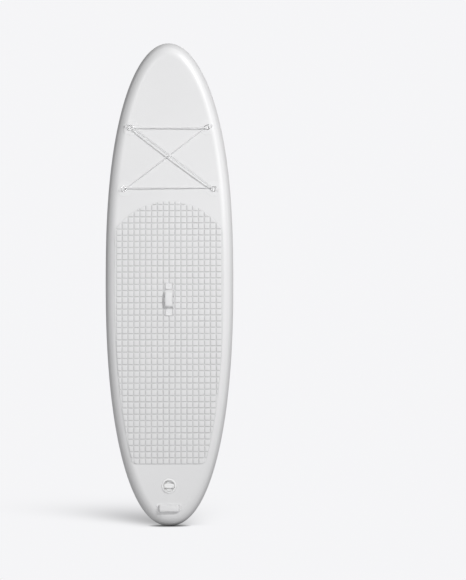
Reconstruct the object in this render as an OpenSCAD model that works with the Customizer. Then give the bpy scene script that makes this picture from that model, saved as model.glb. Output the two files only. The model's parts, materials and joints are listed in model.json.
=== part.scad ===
// Inflatable stand up paddleboard, standing on its tail.
// +Z runs up the board from tail to nose, the deck faces -Y and the fins point to +Y.
// The origin is the middle of the whole board's box, at its lowest point. Millimetres.

/* [Hull] */
// Length from tail to nose
board_length = 3048; // [2980:1:3120]
// Width at the widest point
board_width = 813; // [790:1:830]
// Thickness from deck skin to bottom skin
hull_thickness = 152; // [148:1:156]
// Height of the widest point above the tail
widest_z = 1560; // [1540:1:1580]
// How far the nose bends towards the deck side
nose_kick = 150; // [120:1:180]
// Height at which the bend of the nose starts
kick_z = 2055; // [2052:1:2090]

/* [Traction pad] */
// Margin from the board's edge to the pad
pad_margin = 62.5; // [58:0.5:66]
// Height of the pad's straight lower edge
pad_bottom_z = 389; // [383:1:395]
// Height of the top of the pad's arch
pad_top_z = 2049; // [2042:1:2050]
// Radius of the arch
pad_arch_r = 412; // [406:1:418]
// Thickness of the foam
pad_t = 5; // [4:0.5:6]

/* [Handles] */
// Height of the middle of the carry handle
carry_z = 1423.5; // [1414:0.5:1434]
// Height of the middle of the tail handle
tail_handle_z = 116; // [112:1:120]

/* [Cargo rings and cord] */
// Height of the upper pair of rings
ring_top_z = 2525; // [2512:1:2532]
// Height of the lower pair of rings
ring_bottom_z = 2128; // [2122:1:2136]
// Half the distance between the upper rings
ring_top_x = 242; // [236:1:246]
// Half the distance between the lower rings
ring_bottom_x = 283; // [278:1:288]
// Diameter of the round patches
cargo_patch_d = 97; // [92:1:100]
// Diameter of the bungee cord
cord_d = 6; // [5.6:0.2:6]

/* [Valve] */
// Height of the valve's axis
valve_z = 254; // [250:1:258]
// Diameter of the valve's outer ring
valve_ring_d = 91; // [89:1:93]
// Radius of the seat for the pump nozzle
nozzle_seat_r = 12.5; // [12.4:0.1:12.6]

/* [Fins] */
// Height of the middle of the fin box
fin_z = 330; // [325:1:340]
// Depth of the centre fin's blade
fin_depth = 215; // [200:1:230]
// Height of the middle of the side fins
side_fin_z = 520; // [510:1:530]
// Distance of the side fins from the middle
side_fin_x = 175; // [165:1:180]

/* [Hidden] */
$fn = 64;

// Colours of the real materials
PVC_WHITE = [0.90, 0.90, 0.90];
PVC_GREY = [0.83, 0.83, 0.84];
FOAM_GREY = [0.82, 0.82, 0.83];
WEBBING = [0.86, 0.86, 0.87];
PLASTIC = [0.92, 0.92, 0.92];
RUBBER = [0.25, 0.25, 0.26];
STEEL = [0.75, 0.76, 0.78];
BRASS = [0.78, 0.64, 0.34];

// Outline: a superellipse quadrant on each side of the widest point.
// side_pow and end_pow are its exponents across and along the board.
NOSE_POWS = [2, 2.5];
TAIL_POWS = [2 / 0.9, 2.26];
STATIONS = 72;

// Layers of the hull's wall, counted inwards from the rail band's outer face
band_t = 1.0;
skin_t = 1.2;
weave_t = 1.2;
BAND = [0, -band_t];
SKIN = [-band_t, -band_t - skin_t];
WEAVE = [SKIN[1], SKIN[1] - weave_t];
rail_r = hull_thickness / 2 + band_t;
// Angles round the rail, from the deck's edge to the bottom's edge
DECK_EDGE = 90;
BAND_EDGE = 45;
RAIL_STEP = 22.5;

KICK_POW = 2.2;
GLUE = 0.15;     // gap that stands for a glued joint

// ---- the outline and the bent hull ----

function signed_pow(v, p) = sign(v) * pow(abs(v), p);
function is_nose(a) = sin(a) >= 0;
function pows(a) = is_nose(a) ? NOSE_POWS : TAIL_POWS;
function end_reach(a) = is_nose(a) ? board_length - widest_z : widest_z;

// Station 0 is the nose; stations run clockwise as seen from the deck side
function station(k) = 90 - 360 * k / STATIONS;

function edge(a) = [
    board_width / 2 * signed_pow(cos(a), 2 / pows(a)[0]),
    widest_z + end_reach(a) * signed_pow(sin(a), 2 / pows(a)[1])
];
function edge_normal(a) =
    let (p = pows(a),
         v = [p[0] / (board_width / 2) * signed_pow(cos(a), 2 - 2 / p[0]),
              p[1] / end_reach(a) * signed_pow(sin(a), 2 - 2 / p[1])])
    v / norm(v);
function inset_edge(a, inset) = edge(a) - inset * edge_normal(a);
function half_width(z) =
    let (nose = z >= widest_z,
         p = nose ? NOSE_POWS : TAIL_POWS,
         u = abs(z - widest_z) / (nose ? board_length - widest_z : widest_z))
    board_width / 2 * pow(max(0, 1 - pow(u, p[1])), 1 / p[0]);

// The nose's bend: how far the hull's middle plane has moved to -Y, and its angle
function kick_share(z) = max(0, (z - kick_z) / (board_length - kick_z));
function kick(z) = nose_kick * pow(kick_share(z), KICK_POW);
function kick_angle(z) =
    atan(nose_kick * KICK_POW / (board_length - kick_z) * pow(kick_share(z), KICK_POW - 1));

// A point of the hull's wall, from the hull's middle plane: rail_angle is 90 on the deck,
// 0 on the edge and -90 on the bottom; lift counts outwards from the rail band's face
function wall_point(a, rail_angle, lift) =
    let (m = inset_edge(a, rail_r),
         n = edge_normal(a),
         t = kick_angle(m[1]),
         out = (rail_r + lift) * cos(rail_angle),
         up = (rail_r + lift) * sin(rail_angle))
    [m[0] + out * n[0],
     -kick(m[1]) - out * n[1] * sin(t) - up * cos(t),
     m[1] + out * n[1] * cos(t) - up * sin(t)];

function rail_path(from, to) = [for (r = [from:-RAIL_STEP:to]) r];

// The board stands with its box centred on the Y axis
front_reach = max([for (k = [0:STATIONS - 1], r = rail_path(DECK_EDGE, 0))
    -wall_point(station(k), r, SKIN[0])[1]]);
fin_seat = 1.5;                       // skin to the underside of the fin box
box_h = 28;                           // height of the fin box
root_gap = 0.4;                       // fin box to the blade's root
back_reach = hull_thickness / 2 + fin_seat + box_h + root_gap + fin_depth;
hull_y = (front_reach - back_reach) / 2;

function quad(a, b, c, d) = [[a, b, c], [a, c, d]];

// A layer of the wall along a path of rail angles, all the way round the board.
// sheet closes the layer across the board at the path's "first" or "last" angle.
module wall_layer(path, lifts, sheet = "none") {
    n = len(path);
    last = n - 1;
    half = STATIONS / 2;
    points = [for (k = [0:STATIONS - 1], lift = lifts, r = path)
        wall_point(station(k), r, lift) + [0, hull_y, 0]];
    function at(k, side, j) = ((k % STATIONS) * 2 + side) * n + j;
    function lip(k, j, s) = s > 0
        ? quad(at(k, 0, j), at(k, 1, j), at(k + 1, 1, j), at(k + 1, 0, j))
        : quad(at(k, 1, j), at(k, 0, j), at(k + 1, 0, j), at(k + 1, 1, j));
    function strip(k, side, j) =
        let (r0 = at(k, side, j), r1 = at(k + 1, side, j),
             l0 = at(STATIONS - k, side, j), l1 = at(STATIONS - k - 1, side, j))
        k == 0 ? [[r0, r1, l1]] : k == half - 1 ? [[r0, r1, l0]] : quad(r0, r1, l1, l0);
    function flip(faces, yes) = yes ? [for (f = faces) [f[2], f[1], f[0]]] : faces;
    sheet_j = sheet == "last" ? last : 0;
    wall = [for (k = [0:STATIONS - 1], j = [0:1:n - 2]) each concat(
        quad(at(k, 0, j), at(k, 0, j + 1), at(k + 1, 0, j + 1), at(k + 1, 0, j)),
        quad(at(k, 1, j), at(k + 1, 1, j), at(k + 1, 1, j + 1), at(k, 1, j + 1)))];
    lips = [for (k = [0:STATIONS - 1]) each concat(
        sheet == "first" ? [] : lip(k, 0, -1),
        sheet == "last" ? [] : lip(k, last, 1))];
    sheets = sheet == "none" ? [] : [for (k = [0:half - 1]) each concat(
        flip(strip(k, 0, sheet_j), sheet == "last"),
        flip(strip(k, 1, sheet_j), sheet == "first"))];
    polyhedron(points, concat(wall, lips, sheets), convexity = 6);
}

// Local frames on the hull: +Z away from the skin, +Y up the board on the deck
module at_deck(x, z) {
    t = kick_angle(z);
    translate([x, hull_y - kick(z) - hull_thickness / 2 * cos(t), z - hull_thickness / 2 * sin(t)])
        rotate([90 + t, 0, 0])
            children();
}
// +Y towards the tail on the bottom
module at_bottom(x, z) {
    translate([x, hull_y + hull_thickness / 2, z])
        rotate([-90, 0, 0])
            children();
}

// ---- general shapes ----

module ring(outer, inner, h) {
    difference() {
        cylinder(r = outer, h = h);
        translate([0, 0, -1])
            cylinder(r = inner, h = h + 2);
    }
}
// A flat bar with round ends, along Y
module stadium(length, width, h) {
    reach = (length - width) / 2;
    translate([-width / 2, -reach, 0])
        cube([width, 2 * reach, h]);
    for (s = [-1, 1])
        translate([0, s * reach, 0])
            cylinder(d = width, h = h);
}
module rounded_plate(size, r, h) {
    linear_extrude(height = h)
        offset(r = r, $fn = 32)
            square([size[0] - 2 * r, size[1] - 2 * r], center = true);
}
module block(size, low_z) {
    translate([-size[0] / 2, -size[1] / 2, low_z])
        cube(size);
}

// ---- hull ----

VALVE_HOLE_R = 38.6;
module valve_hole() {
    at_deck(0, valve_z)
        translate([0, 0, -10])
            cylinder(r = VALVE_HOLE_R, h = 20);
}
module deck_skin() {
    color(PVC_WHITE)
        difference() {
            wall_layer(rail_path(DECK_EDGE, 0), SKIN, "first");
            valve_hole();
        }
}
module bottom_skin() {
    color(PVC_WHITE)
        wall_layer(rail_path(0, -DECK_EDGE), SKIN, "last");
}
module deck_weave() {
    color(PVC_GREY)
        difference() {
            wall_layer([DECK_EDGE], WEAVE, "first");
            valve_hole();
        }
}
module bottom_weave() {
    color(PVC_GREY)
        wall_layer([-DECK_EDGE], WEAVE, "last");
}
module inner_rail_wall() {
    color(PVC_GREY)
        wall_layer(rail_path(DECK_EDGE, -DECK_EDGE), WEAVE);
}
module outer_rail_band() {
    color(PVC_WHITE)
        wall_layer(rail_path(BAND_EDGE, -BAND_EDGE), BAND);
}

// Threads that hold deck and bottom parallel; their ends are stitched into the weaves
THREAD_R = 1.2;
THREAD_PITCH = [110, 130];
THREAD_MARGIN = 105;      // from the board's edge
THREAD_CLEAR = 62;        // from the valve's axis
THREAD_REACH = hull_thickness / 2 - skin_t - 0.8;
module drop_stitch_threads() {
    color(PVC_WHITE)
        for (z = [160:THREAD_PITCH[1]:board_length - THREAD_MARGIN],
             i = [-3:3])
            let (x = i * THREAD_PITCH[0])
                if (abs(x) < half_width(z) - THREAD_MARGIN
                        && norm([x, z - valve_z]) > THREAD_CLEAR)
                    translate([x, hull_y - kick(z), z])
                        rotate([90 + kick_angle(z), 0, 0])
                            cylinder(r = THREAD_R, h = 2 * THREAD_REACH, center = true, $fn = 6);
}

// ---- traction pad ----

PAD_GAP = 0.3;
PAD_CORNER = 38;
TAB_SIZE = [46, 40];
TAB_Y = 82.5;             // from the carry handle's middle
WINDOW_GAP = 2;           // round the tab
WINDOW_INNER = 14;        // towards the handle's middle, where the arch comes down
module tab_window() {
    low = TAB_Y - TAB_SIZE[1] / 2 - WINDOW_INNER;
    high = TAB_Y + TAB_SIZE[1] / 2 + WINDOW_GAP;
    width = TAB_SIZE[0] + 2 * WINDOW_GAP;
    translate([-width / 2, low])
        square([width, high - low]);
}
module pad_outline() {
    offset(r = PAD_CORNER)
        offset(delta = -PAD_CORNER)
            intersection() {
                polygon([for (k = [0:STATIONS - 1]) inset_edge(station(k), pad_margin)]);
                union() {
                    translate([0, pad_top_z - pad_arch_r])
                        circle(r = pad_arch_r, $fn = 180);
                    translate([-board_width / 2, pad_bottom_z])
                        square([board_width, pad_top_z - pad_arch_r - pad_bottom_z]);
                }
                translate([-board_width / 2, pad_bottom_z])
                    square([board_width, board_length]);
            }
}
module traction_pad() {
    color(FOAM_GREY)
        at_deck(0, 0)
            translate([0, 0, PAD_GAP])
                linear_extrude(height = pad_t)
                    difference() {
                        pad_outline();
                        for (s = [0, 1])
                            translate([0, carry_z])
                                mirror([0, s])
                                    tab_window();
                    }
}

// ---- handles ----

// A strap's arch as seen from its side: it crosses height 0 at +-foot and is flat at rise
SHOULDER = 12;
module arch_curve(foot, rise, lean, e) {
    offset(r = SHOULDER + e, $fn = 48)
        offset(delta = -SHOULDER)
            polygon([[-foot - lean, -rise], [-foot + lean, rise],
                     [foot - lean, rise], [foot + lean, -rise]]);
}
module arch_band(foot, rise, lean, inner, outer, low) {
    intersection() {
        difference() {
            arch_curve(foot, rise, lean, outer);
            arch_curve(foot, rise, lean, inner);
        }
        translate([-2 * foot, low])
            square([4 * foot, 4 * rise]);
    }
}
WEB_T = 2.2;              // webbing thickness
GRIP_T = 7.2;             // padded grip thickness
GRIP_SLOT = 0.2;          // slack round the webbing inside the grip
WEB_EDGE = 0.4;           // rounding of the webbing's edges
WEB_LAP = 2.5;            // how far the feet reach in under the arch
module webbing(foot, rise, lean, width, foot_length, low) {
    rotate([90, 0, 90])
        linear_extrude(height = width, center = true)
            offset(r = WEB_EDGE, $fn = 16)
                offset(delta = -WEB_EDGE) {
                    arch_band(foot, rise, lean, -WEB_T / 2, WEB_T / 2, low);
                    for (s = [0, 1])
                        mirror([s, 0])
                            translate([foot - WEB_LAP, low])
                                square([foot_length + WEB_LAP, WEB_T]);
                }
}
module grip(foot, rise, lean, width, web_width, low) {
    slot = WEB_T / 2 + GRIP_SLOT;
    rotate([90, 0, 90])
        difference() {
            linear_extrude(height = width, center = true)
                arch_band(foot, rise, lean, -GRIP_T / 2, GRIP_T / 2, low);
            linear_extrude(height = web_width + 2 * GRIP_SLOT, center = true)
                arch_band(foot, rise, lean, -slot, slot, -rise);
        }
}

CARRY_FOOT = 60;
CARRY_RISE = 25;
CARRY_LEAN = 20;
CARRY_W = 46;
CARRY_WEB_W = 38;
PATCH_T = 1.2;
WEB_Z = GLUE + PATCH_T + GLUE;
TAB_T = 6;
TAB_Z = WEB_Z + WEB_T + GLUE;
module carry_handle_patches() {
    color(PVC_GREY)
        at_deck(0, carry_z)
            for (s = [-1, 1])
                translate([0, s * TAB_Y, GLUE])
                    rounded_plate(TAB_SIZE + [2, 2], 4, PATCH_T);
}
module carry_handle_webbing() {
    color(WEBBING)
        at_deck(0, carry_z)
            webbing(CARRY_FOOT, CARRY_RISE, CARRY_LEAN, CARRY_WEB_W,
                    TAB_Y + TAB_SIZE[1] / 2 - CARRY_FOOT, WEB_Z);
}
module carry_handle_tabs() {
    color(PLASTIC)
        at_deck(0, carry_z)
            for (s = [-1, 1])
                translate([0, s * (TAB_Y + 1), TAB_Z])
                    rounded_plate(TAB_SIZE - [0, 2], 3, TAB_T);
}
module carry_handle_grip() {
    color(WEBBING)
        at_deck(0, carry_z)
            grip(CARRY_FOOT, CARRY_RISE, CARRY_LEAN, CARRY_W, CARRY_WEB_W, TAB_Z + TAB_T + GLUE);
}

TAIL_FOOT = 66;
TAIL_RISE = 20;
TAIL_LEAN = 12;
TAIL_W = 40;
TAIL_WEB_W = 32;
TAIL_WEB_FOOT = 14;
TAIL_PATCH = [174, 62];
module tail_handle_patch() {
    color(PVC_WHITE)
        at_deck(0, tail_handle_z)
            rotate([0, 0, 90])
                translate([0, 0, GLUE])
                    stadium(TAIL_PATCH[0], TAIL_PATCH[1], PATCH_T);
}
module tail_handle_webbing() {
    color(WEBBING)
        at_deck(0, tail_handle_z)
            rotate([0, 0, 90])
                webbing(TAIL_FOOT, TAIL_RISE, TAIL_LEAN, TAIL_WEB_W, TAIL_WEB_FOOT, WEB_Z);
}
module tail_handle_grip() {
    color(WEBBING)
        at_deck(0, tail_handle_z)
            rotate([0, 0, 90])
                grip(TAIL_FOOT, TAIL_RISE, TAIL_LEAN, TAIL_W, TAIL_WEB_W, WEB_Z + WEB_T + GLUE);
}

// ---- cargo rings and cord ----

TOP_LEFT = [-1, 1];
TOP_RIGHT = [1, 1];
BOTTOM_RIGHT = [1, -1];
BOTTOM_LEFT = [-1, -1];
CORNERS = [TOP_LEFT, BOTTOM_RIGHT, BOTTOM_LEFT, TOP_RIGHT];   // the order of the cord's round

function ring_x(c) = c[0] * (c[1] > 0 ? ring_top_x : ring_bottom_x);
function ring_z(c) = c[1] > 0 ? ring_top_z : ring_bottom_z;
// Half the angle between a ring's two cords; each ring points along the middle of its own pair
cord_fork = atan2(ring_top_z - ring_bottom_z, ring_top_x + ring_bottom_x) / 2;
function ring_turn(c) = c[0] < 0 ? -c[1] * cord_fork : 180 + c[1] * cord_fork;

WIRE_R = 2;               // ring wire
RING_HALF = 14;           // bar to the middle of the ring
RING_CORNER = 4;
PATCH_LIFT = 0.9;         // the deck is hollow here, so a flat patch stands off a little
CARGO_PATCH_T = 1.2;
TAB_WALL = 1.3;
TAB_CLEAR = 0.06;
tab_r = WIRE_R + TAB_CLEAR + TAB_WALL;
patch_top = PATCH_LIFT + CARGO_PATCH_T;
bar_h = patch_top + 0.1 + tab_r;
cord_r = cord_d / 2;
CORD_GAP = 0.4;
turn_r = WIRE_R + CORD_GAP + cord_r;          // the cord's turn round the bow
cord_low = patch_top + 0.3 + cord_r;
bow_h = cord_low + turn_r;
cord_high = bow_h + turn_r;
ring_tilt = asin((bow_h - bar_h) / (2 * RING_HALF));
bow_u = -RING_HALF + 2 * RING_HALF * cos(ring_tilt);

module at_ring(c) {
    at_deck(ring_x(c), ring_z(c))
        rotate([0, 0, ring_turn(c)])
            children();
}
module cargo_patches() {
    color(PVC_WHITE)
        for (c = CORNERS)
            at_ring(c)
                translate([0, 0, PATCH_LIFT])
                    cylinder(d = cargo_patch_d, h = CARGO_PATCH_T);
}
TAB_W = 18;
TAB_TAIL = 22;
module cargo_ring_tabs() {
    strap_t = 2 * TAB_WALL;
    color(WEBBING)
        for (c = CORNERS)
            at_ring(c)
                translate([-RING_HALF, 0, bar_h])
                    rotate([90, 0, 0])
                        linear_extrude(height = TAB_W, center = true)
                            difference() {
                                union() {
                                    circle(r = tab_r);
                                    translate([-TAB_TAIL, -tab_r])
                                        square([TAB_TAIL, strap_t]);
                                }
                                circle(r = WIRE_R + TAB_CLEAR);
                            }
}
// A D-shaped ring of round wire, its bar on the Y axis and its bow towards +X
module d_ring() {
    bar = RING_HALF - RING_CORNER;
    rotate([90, 0, 0])
        cylinder(r = WIRE_R, h = 2 * bar, center = true);
    for (s = [-1, 1]) {
        translate([RING_CORNER, s * bar, 0])
            rotate([0, 0, s > 0 ? 90 : 180])
                rotate_extrude(angle = 90)
                    translate([RING_CORNER, 0])
                        circle(r = WIRE_R);
        translate([RING_CORNER, s * RING_HALF, 0])
            rotate([0, 90, 0])
                cylinder(r = WIRE_R, h = RING_HALF - RING_CORNER);
    }
    translate([RING_HALF, 0, 0])
        rotate([0, 0, -90])
            rotate_extrude(angle = 180)
                translate([RING_HALF, 0])
                    circle(r = WIRE_R);
}
module cargo_ring(c) {
    color(STEEL)
        at_ring(c)
            translate([-RING_HALF, 0, bar_h])
                rotate([0, -ring_tilt, 0])
                    d_ring();
}

// The cord's path through one ring: in low under the bow, round it, out high over it
LEAD = 14;                // length of the straight lead on each side of the turn
function ring_path(c) =
    let (u = LEAD * cos(cord_fork), v = LEAD * sin(cord_fork),
         turn = [for (b = [-90:-36:-270])
             [bow_u + turn_r * cos(b), 0, bow_h + turn_r * sin(b)]],
         local = concat([[bow_u + u, v, cord_low]], turn, [[bow_u + u, -v, cord_high]]))
    [for (p = c[1] > 0 ? local : [for (i = [len(local) - 1:-1:0]) local[i]]) deck_to_world(c, p)];
function deck_to_world(c, p) =
    let (w = ring_turn(c), z = ring_z(c), t = kick_angle(z),
         x = p[0] * cos(w) - p[1] * sin(w),
         along = p[0] * sin(w) + p[1] * cos(w),
         off = hull_thickness / 2 + p[2])
    [ring_x(c) + x,
     hull_y - kick(z) - off * cos(t) - along * sin(t),
     z - off * sin(t) + along * cos(t)];
CORD_SIDES = 10;
module closed_tube(path, r, sides) {
    n = len(path);
    UP = [0, 0, 1];
    function unit(v) = v / norm(v);
    points = [for (i = [0:n - 1])
        let (t = unit(path[(i + 1) % n] - path[(i + n - 1) % n]),
             b = unit(UP - (UP * t) * t),
             c = cross(t, b))
        each [for (s = [0:sides - 1])
            path[i] + r * (cos(360 * s / sides) * b + sin(360 * s / sides) * c)]];
    faces = [for (i = [0:n - 1], s = [0:sides - 1])
        let (j = (i + 1) % n, q = (s + 1) % sides)
        each quad(i * sides + s, j * sides + s, j * sides + q, i * sides + q)];
    polyhedron(points, faces, convexity = 10);
}
module bungee_cord() {
    color(PVC_WHITE)
        closed_tube([for (c = CORNERS) each ring_path(c)], cord_r, CORD_SIDES);
}

// ---- valve, in its own frame: Z = 0 is the deck skin ----

WELL_R = 36;
WALL_R = 38;
FLANGE_Z = 1.2;
FLANGE_TOP = 5;
FLOOR_Z = -20;
FLOOR_T = 3;
SEAT_TOP = -17;
SEAT_LOW = -27;
THROAT_R = 10.5;
THROAT_WALL_R = 15;
THROAT_LOW = -48;
GUIDE_TOP = -43.5;
GUIDE_T = 3;
STEM_R = 3;
STEM_CLEAR = 0.05;
ANCHOR_X = -26;
module valve_housing() {
    ring_r = valve_ring_d / 2;
    color(PLASTIC)
        at_deck(0, valve_z) {
            rotate_extrude()
                polygon([
                    [WELL_R, FLANGE_TOP], [ring_r - 3, FLANGE_TOP], [ring_r, FLANGE_TOP - 2.4],
                    [ring_r, FLANGE_Z], [WALL_R, FLANGE_Z], [WALL_R, FLOOR_Z - FLOOR_T],
                    [THROAT_WALL_R, FLOOR_Z - FLOOR_T], [THROAT_WALL_R, THROAT_LOW],
                    [THROAT_R, THROAT_LOW], [THROAT_R, SEAT_LOW], [nozzle_seat_r, SEAT_LOW],
                    [nozzle_seat_r, SEAT_TOP], [THROAT_WALL_R, SEAT_TOP],
                    [THROAT_WALL_R, FLOOR_Z], [WELL_R, FLOOR_Z]
                ]);
            difference() {
                translate([0, 0, GUIDE_TOP - GUIDE_T])
                    union() {
                        cylinder(r = STEM_R + 3, h = GUIDE_T);
                        for (i = [0:2])
                            rotate([0, 0, 120 * i])
                                translate([0, -1.5, 0])
                                    cube([THROAT_R + 1, 3, GUIDE_T]);
                    }
                translate([0, 0, GUIDE_TOP - GUIDE_T - 1])
                    cylinder(r = STEM_R + STEM_CLEAR, h = GUIDE_T + 2);
            }
            translate([ANCHOR_X, 0, FLOOR_Z - 1])
                cylinder(r = 1.6, h = 8);
        }
}
module valve_gasket() {
    color(RUBBER)
        at_deck(0, valve_z)
            translate([0, 0, 0.1])
                ring(44.5, WALL_R + 0.2, 1);
}
module valve_clamp_nut() {
    nut_t = 8;
    color(PLASTIC)
        at_deck(0, valve_z)
            translate([0, 0, -skin_t - weave_t - 0.2 - nut_t])
                difference() {
                    ring(49, WALL_R + 0.1, nut_t);
                    for (i = [0:7])
                        rotate([0, 0, 45 * i])
                            translate([50, 0, -1])
                                cylinder(r = 4, h = nut_t + 2, $fn = 32);
                }
}
SEAL_TOP = THROAT_LOW - 0.1;
SEAL_T = 2.5;
module valve_seal_disc() {
    color(RUBBER)
        at_deck(0, valve_z)
            translate([0, 0, SEAL_TOP - SEAL_T])
                ring(THROAT_WALL_R, STEM_R + STEM_CLEAR, SEAL_T);
}
CLIP_T = 2;
CLIP_TOP = SEAL_TOP - SEAL_T - 0.1;
module valve_seal_clip() {
    color(PLASTIC)
        at_deck(0, valve_z)
            translate([0, 0, CLIP_TOP - CLIP_T])
                ring(7, STEM_R + STEM_CLEAR, CLIP_T);
}
BUTTON_TOP = -28.5;
BUTTON_T = 3;
STEM_END = -58;
module valve_stem() {
    color(PLASTIC)
        at_deck(0, valve_z)
            difference() {
                union() {
                    translate([0, 0, STEM_END])
                        cylinder(r = STEM_R, h = BUTTON_TOP - STEM_END - 1);
                    translate([0, 0, BUTTON_TOP - BUTTON_T])
                        cylinder(r = 6.5, h = BUTTON_T);
                    // end stop below the clip
                    translate([0, 0, STEM_END])
                        cylinder(r = STEM_R + 1, h = CLIP_TOP - CLIP_T - 0.1 - STEM_END);
                }
                translate([0, 0, BUTTON_TOP - 1])
                    block([9, 1.6, 2], 0);
            }
}
SPRING_R = 4.8;
SPRING_WIRE = 0.6;
SPRING_TURNS = 4;
module valve_spring() {
    low = GUIDE_TOP + SPRING_WIRE + 0.1;
    high = BUTTON_TOP - BUTTON_T - SPRING_WIRE - 0.1;
    steps = SPRING_TURNS * 12;
    sides = 6;
    points = [for (i = [0:steps], s = [0:sides - 1])
        let (a = 360 * SPRING_TURNS * i / steps,
             r = SPRING_R + SPRING_WIRE * cos(360 * s / sides))
        [r * cos(a), r * sin(a), low + (high - low) * i / steps + SPRING_WIRE * sin(360 * s / sides)]];
    faces = concat(
        [for (i = [0:steps - 1], s = [0:sides - 1])
            let (q = (s + 1) % sides)
            each quad(i * sides + s, i * sides + q, (i + 1) * sides + q, (i + 1) * sides + s)],
        [[for (s = [sides - 1:-1:0]) s]],
        [[for (s = [0:sides - 1]) steps * sides + s]]);
    color(STEEL)
        at_deck(0, valve_z)
            polyhedron(points, faces, convexity = 10);
}
CAP_R = 34.8;
CAP_DISC_Z = -12;
CAP_DISC_T = 3;
CAP_RIM_TOP = 3;
CAP_RIM_R = 32.4;
NECK_R = [15.8, 17.4];
NECK_LOW = -18.2;
O_RING_Z = -5;
O_RING_R = 1.1;
BAR_W = 26;
module valve_cap() {
    color(PLASTIC)
        at_deck(0, valve_z) {
            rotate_extrude()
                difference() {
                    union() {
                        translate([0, CAP_DISC_Z])
                            square([CAP_R, CAP_DISC_T]);
                        translate([CAP_RIM_R, CAP_DISC_Z])
                            square([CAP_R - CAP_RIM_R, CAP_RIM_TOP - CAP_DISC_Z]);
                        translate([NECK_R[0], NECK_LOW])
                            square([NECK_R[1] - NECK_R[0], CAP_DISC_Z - NECK_LOW + 1]);
                        translate([NECK_R[0], NECK_LOW])
                            square([NECK_R[1] - NECK_R[0] + 0.9, 1.4]);
                    }
                    translate([CAP_R - 1.15, O_RING_Z - 1.2])
                        square([2, 2.4]);
                }
            intersection() {
                block([2 * CAP_R, BAR_W, CAP_RIM_TOP - 1 - CAP_DISC_Z], CAP_DISC_Z + 1);
                translate([0, 0, CAP_DISC_Z])
                    cylinder(r = CAP_RIM_R + 0.5, h = 30);
            }
        }
}
module valve_cap_o_ring() {
    color(RUBBER)
        at_deck(0, valve_z)
            translate([0, 0, O_RING_Z])
                rotate_extrude()
                    translate([CAP_R, 0])
                        circle(r = O_RING_R);
}
TETHER_R = [24, 28];
TETHER_Z = -16.2;
TETHER_T = 1.4;
module valve_tether_ring() {
    color(PVC_GREY)
        at_deck(0, valve_z)
            translate([0, 0, TETHER_Z]) {
                ring(22, NECK_R[1] + 0.1, TETHER_T);
                translate([21, -3, 0])
                    cube([2.6, 6, TETHER_T]);
            }
}
module valve_tether_strap() {
    mid = (TETHER_R[0] + TETHER_R[1]) / 2;
    color(PVC_GREY)
        at_deck(0, valve_z)
            translate([0, 0, TETHER_Z])
                difference() {
                    union() {
                        rotate_extrude(angle = 180)
                            translate([TETHER_R[0], 0])
                                square([TETHER_R[1] - TETHER_R[0], TETHER_T]);
                        translate([-mid, 0, 0])
                            cylinder(r = 3.4, h = TETHER_T);
                        translate([TETHER_R[0] - 0.2, -3, 0])
                            cube([TETHER_R[1] - TETHER_R[0] + 0.2, 4, TETHER_T]);
                    }
                    translate([-mid, 0, -1])
                        cylinder(r = 1.8, h = TETHER_T + 2);
                }
}

// ---- fins, in the bottom's frame: Z = 0 is the bottom skin, +Y towards the tail ----

FIN_PATCH = [350, 110];   // length, width
BOX_FLANGE = [300, 70];
BOX = [270, 30];
BASE_T = 3;               // flange of the fin box, base of a side fin
SLOT = [10, 250, 22];     // width, length, depth
GROOVE_W = 16;
GROOVE_Z = [14.4, 19.6];
GROOVE_ENTRY = 15;        // length of the opening that lets the pin and the nut in
module fin_box_patch() {
    color(PVC_WHITE)
        at_bottom(0, fin_z)
            translate([0, 0, GLUE])
                stadium(FIN_PATCH[0], FIN_PATCH[1], PATCH_T);
}
module fin_box() {
    color(PLASTIC)
        at_bottom(0, fin_z)
            translate([0, 0, fin_seat])
                difference() {
                    union() {
                        stadium(BOX_FLANGE[0], BOX_FLANGE[1], BASE_T);
                        stadium(BOX[0], BOX[1], box_h);
                    }
                    block([SLOT[0], SLOT[1], SLOT[2] + 1], box_h - SLOT[2]);
                    block([GROOVE_W, SLOT[1], GROOVE_Z[1] - GROOVE_Z[0]], GROOVE_Z[0]);
                    block([GROOVE_W, GROOVE_ENTRY, box_h], GROOVE_Z[0]);
                }
}

// A raked, foiled blade standing on Z = 0, leading edge towards -Y
// chord: length at the root; rake: how far the tip lies behind; thick: at the root
BLADE_LEVELS = 12;
SECTION_POINTS = 12;      // along each side of the section
TIP_SHARE = 0.985;        // the outline is cut here, so the tip keeps a short edge
module blade(chord, depth, rake, thick) {
    function share(i) = TIP_SHARE * sin(90 * i / BLADE_LEVELS);
    function chord_at(s) = chord * sqrt(1 - pow(s, 2.4)) * (1 - 0.3 * s);
    function lead_at(s) = rake * pow(s, 1.7);
    function half_at(s, c) = thick / 2 * (1 - 0.5 * s) * pow(sin(180 * pow(c, 0.7)), 0.7);
    sides = 2 * SECTION_POINTS;
    function section(s) = [for (j = [0:sides - 1])
        let (c = (1 - cos(360 * j / sides)) / 2,
             side = j <= SECTION_POINTS ? 1 : -1)
        [side * half_at(s, c), lead_at(s) + c * chord_at(s), depth * s / TIP_SHARE]];
    points = [for (i = [0:BLADE_LEVELS]) each section(share(i))];
    faces = concat(
        [for (i = [0:BLADE_LEVELS - 1], j = [0:sides - 1])
            let (q = (j + 1) % sides)
            each quad(i * sides + j, (i + 1) * sides + j, (i + 1) * sides + q, i * sides + q)],
        [[for (j = [0:sides - 1]) j]],
        [[for (j = [sides - 1:-1:0]) BLADE_LEVELS * sides + j]]);
    polyhedron(points, faces, convexity = 4);
}

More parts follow.
